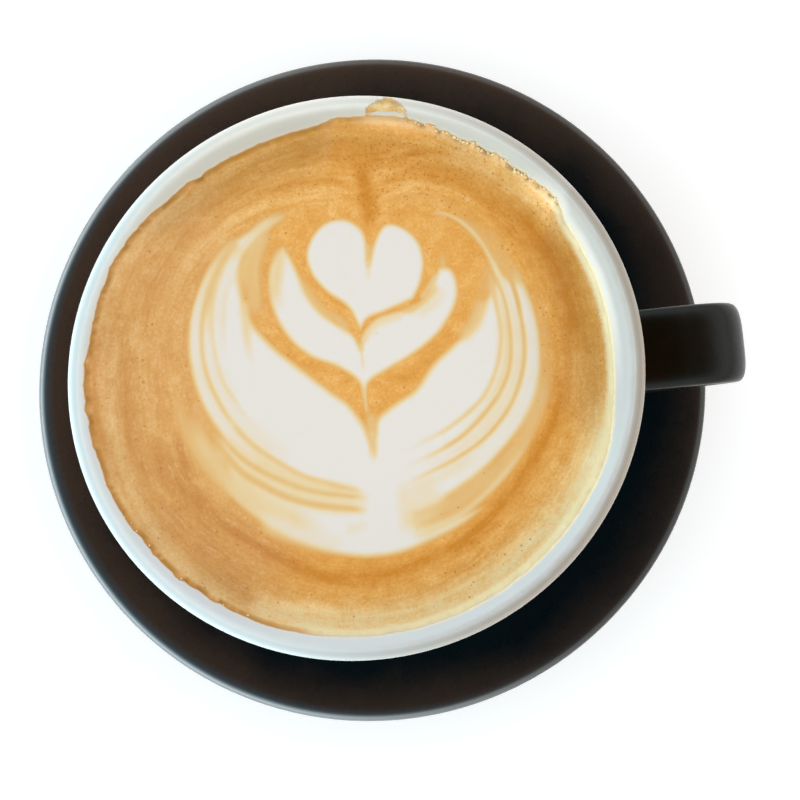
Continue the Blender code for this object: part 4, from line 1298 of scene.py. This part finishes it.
def coffee_finish(settings):
    """Crema and milk. Tone, streaks and mottling give the crema's colour, the share of milk turns it to
    tan, cream and milk, and pores leave dark dots. Along the wall it is yellow foam, which is also a
    painted highlight there, or a brown line that is dried crema and painted shade."""
    finish = Finish("crema_and_milk")
    place = finish.place()
    waves = {"Vector": place, "Scale": 0.22, "Detail": 2.0}
    bend = finish.node("ShaderNodeTexNoise", None, waves, output="Color")
    flow = finish.vectors("ADD", {0: finish.vector("flow"), 1: bend})
    streak = finish.noise(flow, 1.0, 3.0, 0.5) + finish.noise(flow, 2.6, 2.0, 0.5) * 0.5
    mottle = finish.noise(place, 0.34, 4.0, 0.6)
    grain = finish.noise(place, 1.7, 4.0, 0.8)
    milk = finish.value("milk")
    grey = finish.value("grey")
    near = finish.value("edge") + grain * 0.5
    fleck = finish.noise(flow, 2.4, 3.0, 0.6) + finish.noise(place, 0.9, 3.0, 0.6) * 0.9
    tone = finish.value("tone") + streak + mottle * 1.1 + grain * 1.7 - near.step(4.0, 1.6) * grey * 0.4
    crema = finish.ramp(
        tone * (1 / TONE_RANGE) + (-TONE_LOWEST / TONE_RANGE),
        [(0.03, settings.yellow_foam_and_highlight), (0.34, settings.pale_crema), (0.656, settings.crema),
         (0.97, settings.dark_crema)],
    )  # fmt: skip
    crema = finish.mixed(grey * 0.18, crema, GREY_CREMA)
    crema = finish.mixed(fleck.step(0.0, 0.36) * (grey * 0.3 + 0.1), crema, PALE_FLECKS)
    share = milk + (streak * 0.16 + mottle * 0.14 + grain * 0.08) * milk.step(0.0, 0.15)
    creamy = finish.ramp(
        share,
        [(0.0, settings.crema), (0.15, LIGHT_TAN), (0.32, settings.tan), (0.64, settings.cream),
         (0.98, settings.milk)],
    )  # fmt: skip
    colour = finish.mixed(share.step(0.0, 0.25), crema, creamy)
    cells = ("ShaderNodeTexVoronoi", {"feature": "F1"}, {"Vector": place, "Scale": 2.1})
    apart = finish.node(*cells)
    chance = finish.node(*cells, output="Color")
    there = (finish.part(chance, "X") < finish.value("pores")) * milk.step(0.4, 0.1)
    size = finish.part(chance, "Y").maths("POWER", 4.0) * 0.45 + 0.14
    pore = (apart - size).step(0.16, -0.06) * there
    colour = finish.mixed(pore * 0.55, colour, PORES)
    crust = finish.value("crust")
    # Yellow foam at the wall where the brown line is faint: foam, and a painted highlight on the foam's
    # edge
    foam_and_highlight = near.step(2.0, 0.6) * crust.step(0.75, 0.4)
    colour = finish.mixed(foam_and_highlight * 0.9, colour, settings.yellow_foam_and_highlight)
    # Brown line at the wall: crema, and painted shade where the foam meets the wall
    brown_line_and_shade = near.step(1.3, 0.4) * (mottle * 3.0 + 1.0).step(0.1, 0.7)
    colour = finish.mixed(brown_line_and_shade * crust * 0.8, colour, BROWN_EDGE_AND_SHADE)
    relief = streak * 0.03 + mottle * 0.05 + grain * 0.02
    finish.set(
        Base_Color=colour, Roughness=grain * 0.12 + settings.sheen, IOR=COFFEE_IOR,
        Normal=finish.bump(relief, 0.6),
    )  # fmt: skip
    return finish.material


def smear_finish():
    """A stain of dried foam, which covers the glaze unevenly and is brown in patches."""
    finish = Finish("wall_stain")
    place = finish.place()
    thick = finish.value("thick")
    cover = (thick * 1.5 + finish.noise(place, 0.9, 4.0, 0.6) * 1.6 - 0.35).step(0.0, 0.9)
    pale = (finish.noise(place, 0.7, 3.0) * 2.2 + 0.5).step(0.0, 1.0)
    alpha = cover * thick.step(0.02, 0.3) * 0.85
    colour = finish.mixed(pale, BROWN_STAIN, PALE_STAIN)
    finish.set(Base_Color=colour, Alpha=alpha, Roughness=0.3, IOR=STAIN_IOR)
    return finish.material


def bubble_finish():
    """Wet bubbles of foam, pale or brownish."""
    finish = Finish("foam_bubbles")
    colour = finish.mixed(finish.value("thick"), BROWN_BUBBLES, PALE_BUBBLES)
    finish.set(Base_Color=colour, Roughness=0.16, IOR=BUBBLE_IOR)
    return finish.material


def add_piece(name, shape, material, slot, *replaced):
    """Puts a finished shape into the scene. It rides on the object's one body."""
    piece = bpy.data.objects.new(name, shape.to_mesh(name))
    bpy.context.scene.collection.objects.link(piece)
    piece.data.materials.append(material)
    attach(piece, BODY)
    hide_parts(*replaced)


def strap_shape(width, thickness, fillet):
    """The handle: a superellipse, |across|^n + |outwards|^n = 1, carried along its route. Near the cup
    each point moves out along the section's normal as a quarter circle does, so that the strap runs into
    the wall."""
    route = smooth_curve(HANDLE_ROUTE, STRAP_STEP)
    along = np.gradient(route, axis=0)
    along /= np.linalg.norm(along, axis=1)[:, None]
    outwards = np.stack([-along[:, 1], along[:, 0]], -1)
    turn = (np.arange(STRAP_POINTS) + 0.5) * math.tau / STRAP_POINTS
    power = 2 / STRAP_SQUARENESS
    across = np.sign(np.cos(turn)) * np.abs(np.cos(turn)) ** power * width / 2
    out = np.sign(np.sin(turn)) * np.abs(np.sin(turn)) ** power * thickness / 2
    section = np.stack([across, out], -1)
    edge_ahead = np.roll(section, -1, 0) - np.roll(section, 1, 0)
    normal = np.stack([edge_ahead[:, 1], -edge_ahead[:, 0]], -1)
    normal /= np.linalg.norm(normal, axis=1)[:, None]
    outside = smooth_curve(CUP_OUTSIDE, 0.4)
    plain_z = route[:, None, 1] + outwards[:, None, 1] * out
    plain_x = route[:, None, 0] + outwards[:, None, 0] * out
    plain_r = np.hypot(plain_x, across[None, :])
    slope = np.interp(plain_z, outside[:, 1], np.gradient(outside[:, 0], outside[:, 1]))
    away = (plain_r - np.interp(plain_z, outside[:, 1], outside[:, 0])) / np.sqrt(1 + slope**2)
    t = np.clip(1 - away / fillet, 0, 1)
    flare = fillet * (1 - np.sqrt(1 - t**2))
    sunk = np.clip(-away / fillet, 0, 1)
    flare *= 1 - sunk
    wide = across[None, :] + normal[None, :, 0] * flare
    high = out[None, :] + normal[None, :, 1] * flare
    x = route[:, None, 0] + outwards[:, None, 0] * high
    z = route[:, None, 1] + outwards[:, None, 1] * high
    rings = np.stack([x, wide, z], -1)
    count = rings.shape[0] * STRAP_POINTS
    ends = rings[[0, -1]].mean(1)
    index = np.arange(count).reshape(-1, STRAP_POINTS)
    triangles = np.vstack([fan(index[0][::-1], count), fan(index[-1], count + 1)])
    quads = grid_quads(rings.shape[0], STRAP_POINTS, True)
    return Shape(np.vstack([rings.reshape(-1, 3), ends]), quads, triangles)


def wall_route(radius):
    """The upper inner wall and the lip above it as one line, and how far along it each point is."""
    route = np.vstack([INNER_WALL[INNER_WALL[:, 1] > WALL_START], cup_lip(radius)])
    return route, travelled(route)


def smear_shape(radius):
    """Foam on the wall: a grid over the wall and the lip, just above the glaze and a little higher inside
    the stain's outline, with a second grid behind it, inside the wall, that closes the piece."""
    route, along = wall_route(radius)
    turn = np.linspace(*np.radians(SMEAR_RANGE[0]), SMEAR_GRID[0])
    up = np.linspace(*SMEAR_RANGE[1], SMEAR_GRID[1])
    turn, up = (v.ravel() for v in np.meshgrid(turn, up))
    per_degree = math.radians(1) * wall_radius(COFFEE_LEVEL)
    shake = 0.07 * ragged(turn, 8, 90, 900) + 0.06 * np.sin(up * 5.3) * ragged(turn, 9, 60, 500)
    places = np.stack([(np.degrees(turn) - SMEAR_MIDDLE) * per_degree, up], -1) + shake[:, None]
    scale = np.array([per_degree, 1.0])
    outline = smooth_curve((np.array(SMEAR_OUTLINE) - (SMEAR_MIDDLE, 0)) * scale, 0.4)
    hole = smooth_curve((np.array(SMEAR_HOLE) - (SMEAR_MIDDLE, 0)) * scale, 0.4)
    inside = np.minimum(inside_distance(places, outline), -inside_distance(places, hole))
    thick = smooth_step(-0.5, 1.1, inside)
    slope = np.gradient(route, axis=0)
    slope /= np.linalg.norm(slope, axis=1)[:, None]
    sides = []
    for lift in (SMEAR_LIFT + SMEAR_THICKNESS * thick, -SMEAR_DEPTH):
        r = np.interp(up, along, route[:, 0]) - np.interp(up, along, slope[:, 1]) * lift
        z = np.interp(up, along, route[:, 1]) + np.interp(up, along, slope[:, 0]) * lift
        sides.append(made_oval(np.stack([r * np.cos(turn), r * np.sin(turn), z], -1)))
    columns, rows = SMEAR_GRID
    count = columns * rows
    index = np.arange(count).reshape(rows, columns)
    border = np.concatenate([index[0, :-1], index[:-1, -1], index[-1, :0:-1], index[:0:-1, 0]])
    rim = np.stack([border, np.roll(border, -1), np.roll(border, -1) + count, border + count], -1)
    front = grid_quads(rows, columns, False)
    quads = np.vstack([front, front[:, ::-1] + count, rim[:, ::-1]])
    return Shape(np.vstack(sides), quads, [], {"thick": np.concatenate([thick, 0 * thick])})


def ball(rows=6, columns=10):
    """A unit ball of rings and two poles, as points, four-sided and three-sided faces."""
    tilt = np.arange(1, rows) * math.pi / rows
    turn = np.arange(columns) * math.tau / columns
    rings = np.stack(
        [np.outer(np.sin(tilt), np.cos(turn)), np.outer(np.sin(tilt), np.sin(turn)),
         np.repeat(np.cos(tilt)[:, None], columns, 1)], -1,
    )  # fmt: skip
    count = (rows - 1) * columns
    index = np.arange(count).reshape(-1, columns)
    triangles = np.vstack([fan(index[0][::-1], count), fan(index[-1], count + 1)])
    points = np.vstack([rings.reshape(-1, 3), [(0, 0, 1), (0, 0, -1)]])
    return points, grid_quads(rows - 1, columns, True), triangles


def edge_bubbles_shape(number):
    """Bubbles along the wall: copies of one ball at random angles within the bubbly stretches, each at a
    random height about the foam's edge."""
    random = np.random.default_rng(21)
    starts, ends, shares = np.array(BUBBLY_STRETCHES).T
    stretch = random.choice(len(shares), number, p=shares)
    turn = random.uniform(np.radians(starts)[stretch], np.radians(ends)[stretch])
    big_share, bigger = BIG_BUBBLES
    size = random.uniform(*BUBBLE_RADII, number)
    size = size * np.where(random.uniform(size=number) < big_share, bigger, 1.0)
    height = contact_height(turn) + random.uniform(*BUBBLE_HEIGHTS, number) - size * BUBBLE_SUNK
    radius = wall_radius(height) - random.uniform(*BUBBLE_GAPS, number)
    centres = made_oval(np.stack([radius * np.cos(turn), radius * np.sin(turn), height], -1))
    points, quads, triangles = ball()
    shift = np.arange(number)[:, None, None] * len(points)
    everything = (centres[:, None, :] + size[:, None, None] * points).reshape(-1, 3)
    thick = np.repeat(random.uniform(0.35, 1.0, number), len(points))
    return Shape(everything, quads + shift, triangles + shift, {"thick": thick})


class LATTE_OT_saucer(bpy.types.Operator):
    """Builds the black saucer"""

    bl_idname = "latte.saucer"
    bl_label = "Saucer"

    def execute(self, context):
        stoneware = context.scene.latte_stoneware
        shape = turned(saucer_profile(stoneware.saucer_radius / MM))
        shape.points = made_oval(shape.points, SAUCER_OVAL, SAUCER_OVAL_TURN, 0, SAUCER_HEIGHT)
        add_piece("black_saucer", shape, saucer_glaze(stoneware), "saucer_glaze", "saucer")
        return {"FINISHED"}


class LATTE_OT_cup(bpy.types.Operator):
    """Builds the cup, black outside and white inside"""

    bl_idname = "latte.cup"
    bl_label = "Cup"

    def execute(self, context):
        stoneware = context.scene.latte_stoneware
        profile, along = cup_profile(stoneware.cup_radius / MM)
        shape = turned(profile, {"way": along})
        turn = np.arctan2(shape.points[:, 1], shape.points[:, 0])
        inner = shape.values["way"] < 0
        shape.values["above"] = np.where(inner, shape.points[:, 2] - contact_height(turn), NO_WALL)
        shape.values["crust"] = crust_and_shade_share(turn)
        shape.values["film"] = by_stretches(turn, FILM_AND_REFLECTION_ALL_ROUND, FILM_AND_REFLECTION_STRETCHES)
        shape.points = made_oval(shape.points)
        add_piece("two_tone_cup", shape, cup_glaze(stoneware), "cup_glaze", "cup")
        return {"FINISHED"}


class LATTE_OT_handle(bpy.types.Operator):
    """Builds the cup's strap handle"""

    bl_idname = "latte.handle"
    bl_label = "Handle"

    def execute(self, context):
        stoneware = context.scene.latte_stoneware
        sizes = (stoneware.strap_width, stoneware.strap_thickness, stoneware.strap_fillet)
        shape = strap_shape(*(size / MM for size in sizes))
        add_piece("strap_handle", shape, handle_glaze(stoneware), "cup_glaze", "cup")
        return {"FINISHED"}


class LATTE_OT_coffee(bpy.types.Operator):
    """Builds the coffee with its milk figures"""

    bl_idname = "latte.coffee"
    bl_label = "Coffee"

    def execute(self, context):
        finish = coffee_finish(context.scene.latte_coffee)
        foams = ("foam_heart", "foam_leaf_middle", "foam_leaf_large")
        add_piece("latte", coffee_shape(), finish, "crema", "coffee", *foams)
        return {"FINISHED"}


class LATTE_OT_wall_foam(bpy.types.Operator):
    """Builds the bubbles and the smear of foam on the cup's wall"""

    bl_idname = "latte.wall_foam"
    bl_label = "Foam on the wall"

    def execute(self, context):
        radius = context.scene.latte_stoneware.cup_radius / MM
        number = context.scene.latte_coffee.edge_bubbles
        add_piece("foam_smear", smear_shape(radius), smear_finish(), "crema")
        add_piece("edge_bubbles", edge_bubbles_shape(number), bubble_finish(), "crema")
        return {"FINISHED"}


def make_world(daylight, window):
    """The light of a room: dark straight overhead, bright all round, a little less on the right, with a
    cool window low on the left. Seen past the floor's edge it is as pale and plain as the floor."""
    world = bpy.data.worlds.new("surround")
    world.use_nodes = True
    graph = Graph(world.node_tree)
    view = graph.node("ShaderNodeTexCoord", output="Generated")
    up = graph.part(view, "Z")
    left = graph.towards(view, WINDOW_WAY)
    around = up.step(0.96, 0.84) * 0.06 + up.step(0.88, 0.56) * 1.36 + 0.02
    around = around * (1.0 - left.step(0.1, -0.6) * up.step(0.26, 0.06) * 0.6)
    opening = left.step(0.30, 0.80) * up.step(0.0, 0.10) * up.step(0.50, 0.32)
    light = (around * (left * -0.10 + 1.0) + opening * window) * daylight
    colour = graph.mixed(left.step(0.1, 0.9), (1.0, 0.985, 0.975), (0.80, 0.94, 1.0))
    seen = graph.node("ShaderNodeLightPath", output="Is Camera Ray")
    background = world.node_tree.nodes["Background"]
    graph.feed(background.inputs["Color"], graph.mixed(seen, colour, (1.0, 1.0, 1.0)))
    graph.feed(background.inputs["Strength"], light * (1.0 - seen) + seen)
    bpy.context.scene.world = world


def make_floor(colour):
    """A plain pale floor, a disc of rings round the origin."""
    count = (len(FLOOR_RINGS), FLOOR_SEGMENTS)
    turn = np.arange(FLOOR_SEGMENTS) * math.tau / FLOOR_SEGMENTS
    x, y = np.outer(FLOOR_RINGS, np.cos(turn)), np.outer(FLOOR_RINGS, np.sin(turn))
    rings = np.stack([x, y, np.zeros(count)], -1)
    mesh = bpy.data.meshes.new("floor")
    mesh.from_pydata(rings.reshape(-1, 3) * MM, [], grid_quads(*count, True)[:, ::-1].tolist())
    floor = bpy.data.objects.new("floor", mesh)
    bpy.context.scene.collection.objects.link(floor)
    finish = Finish("floor_paint")
    finish.set(Base_Color=colour, Roughness=0.8, Emission_Color=colour, Emission_Strength=0.24)
    mesh.materials.append(finish.material)


class LATTE_OT_stage(bpy.types.Operator):
    """Makes the floor, the soft light and the camera"""

    bl_idname = "latte.stage"
    bl_label = "Stage"

    def execute(self, context):
        stage = context.scene.latte_stage
        make_floor(stage.floor)
        make_world(stage.daylight, stage.window)
        camera = bpy.data.cameras.new("camera")
        camera.lens = stage.lens
        camera.sensor_width = 36
        camera.clip_start = 0.01
        holder = bpy.data.objects.new("camera", camera)
        holder.location = stage.camera_place
        holder.rotation_euler = stage.camera_turn
        context.scene.collection.objects.link(holder)
        context.scene.camera = holder
        context.scene.view_settings.view_transform = "Standard"
        return {"FINISHED"}


class LATTE_PT_panel(bpy.types.Panel):
    """Sizes, colours and build steps of the latte"""

    bl_idname = "LATTE_PT_panel"
    bl_label = "Latte in a Cup"
    bl_space_type = "VIEW_3D"
    bl_region_type = "UI"
    bl_category = "Latte"

    def draw(self, context):
        scene = context.scene
        for settings in (scene.latte_stoneware, scene.latte_coffee, scene.latte_stage):
            box = self.layout.box()
            for key in settings.bl_rna.properties.keys():
                if key not in ("rna_type", "name"):
                    box.prop(settings, key)
        for operator in OPERATORS:
            self.layout.operator(operator.bl_idname)


OPERATORS = (
    LATTE_OT_saucer, LATTE_OT_cup, LATTE_OT_handle, LATTE_OT_coffee, LATTE_OT_wall_foam, LATTE_OT_stage,
)  # fmt: skip
GROUPS = {
    "latte_stoneware": StonewareSettings,
    "latte_coffee": CoffeeSettings,
    "latte_stage": StageSettings,
}


def register():
    """Registers the settings, the operators and the panel."""
    for group in GROUPS.values():
        bpy.utils.register_class(group)
    for operator in OPERATORS:
        bpy.utils.register_class(operator)
    bpy.utils.register_class(LATTE_PT_panel)
    for key, group in GROUPS.items():
        setattr(bpy.types.Scene, key, PointerProperty(type=group))


def unregister():
    """Takes back what register did."""
    for key in GROUPS:
        delattr(bpy.types.Scene, key)
    bpy.utils.unregister_class(LATTE_PT_panel)
    for operator in reversed(OPERATORS):
        bpy.utils.unregister_class(operator)
    for group in reversed(GROUPS.values()):
        bpy.utils.unregister_class(group)


def main():
    """Builds the pieces and the stage."""
    register()
    for step in ("saucer", "cup", "handle", "coffee", "wall_foam", "stage"):
        getattr(bpy.ops.latte, step)()


if __name__ == "__main__":
    main()
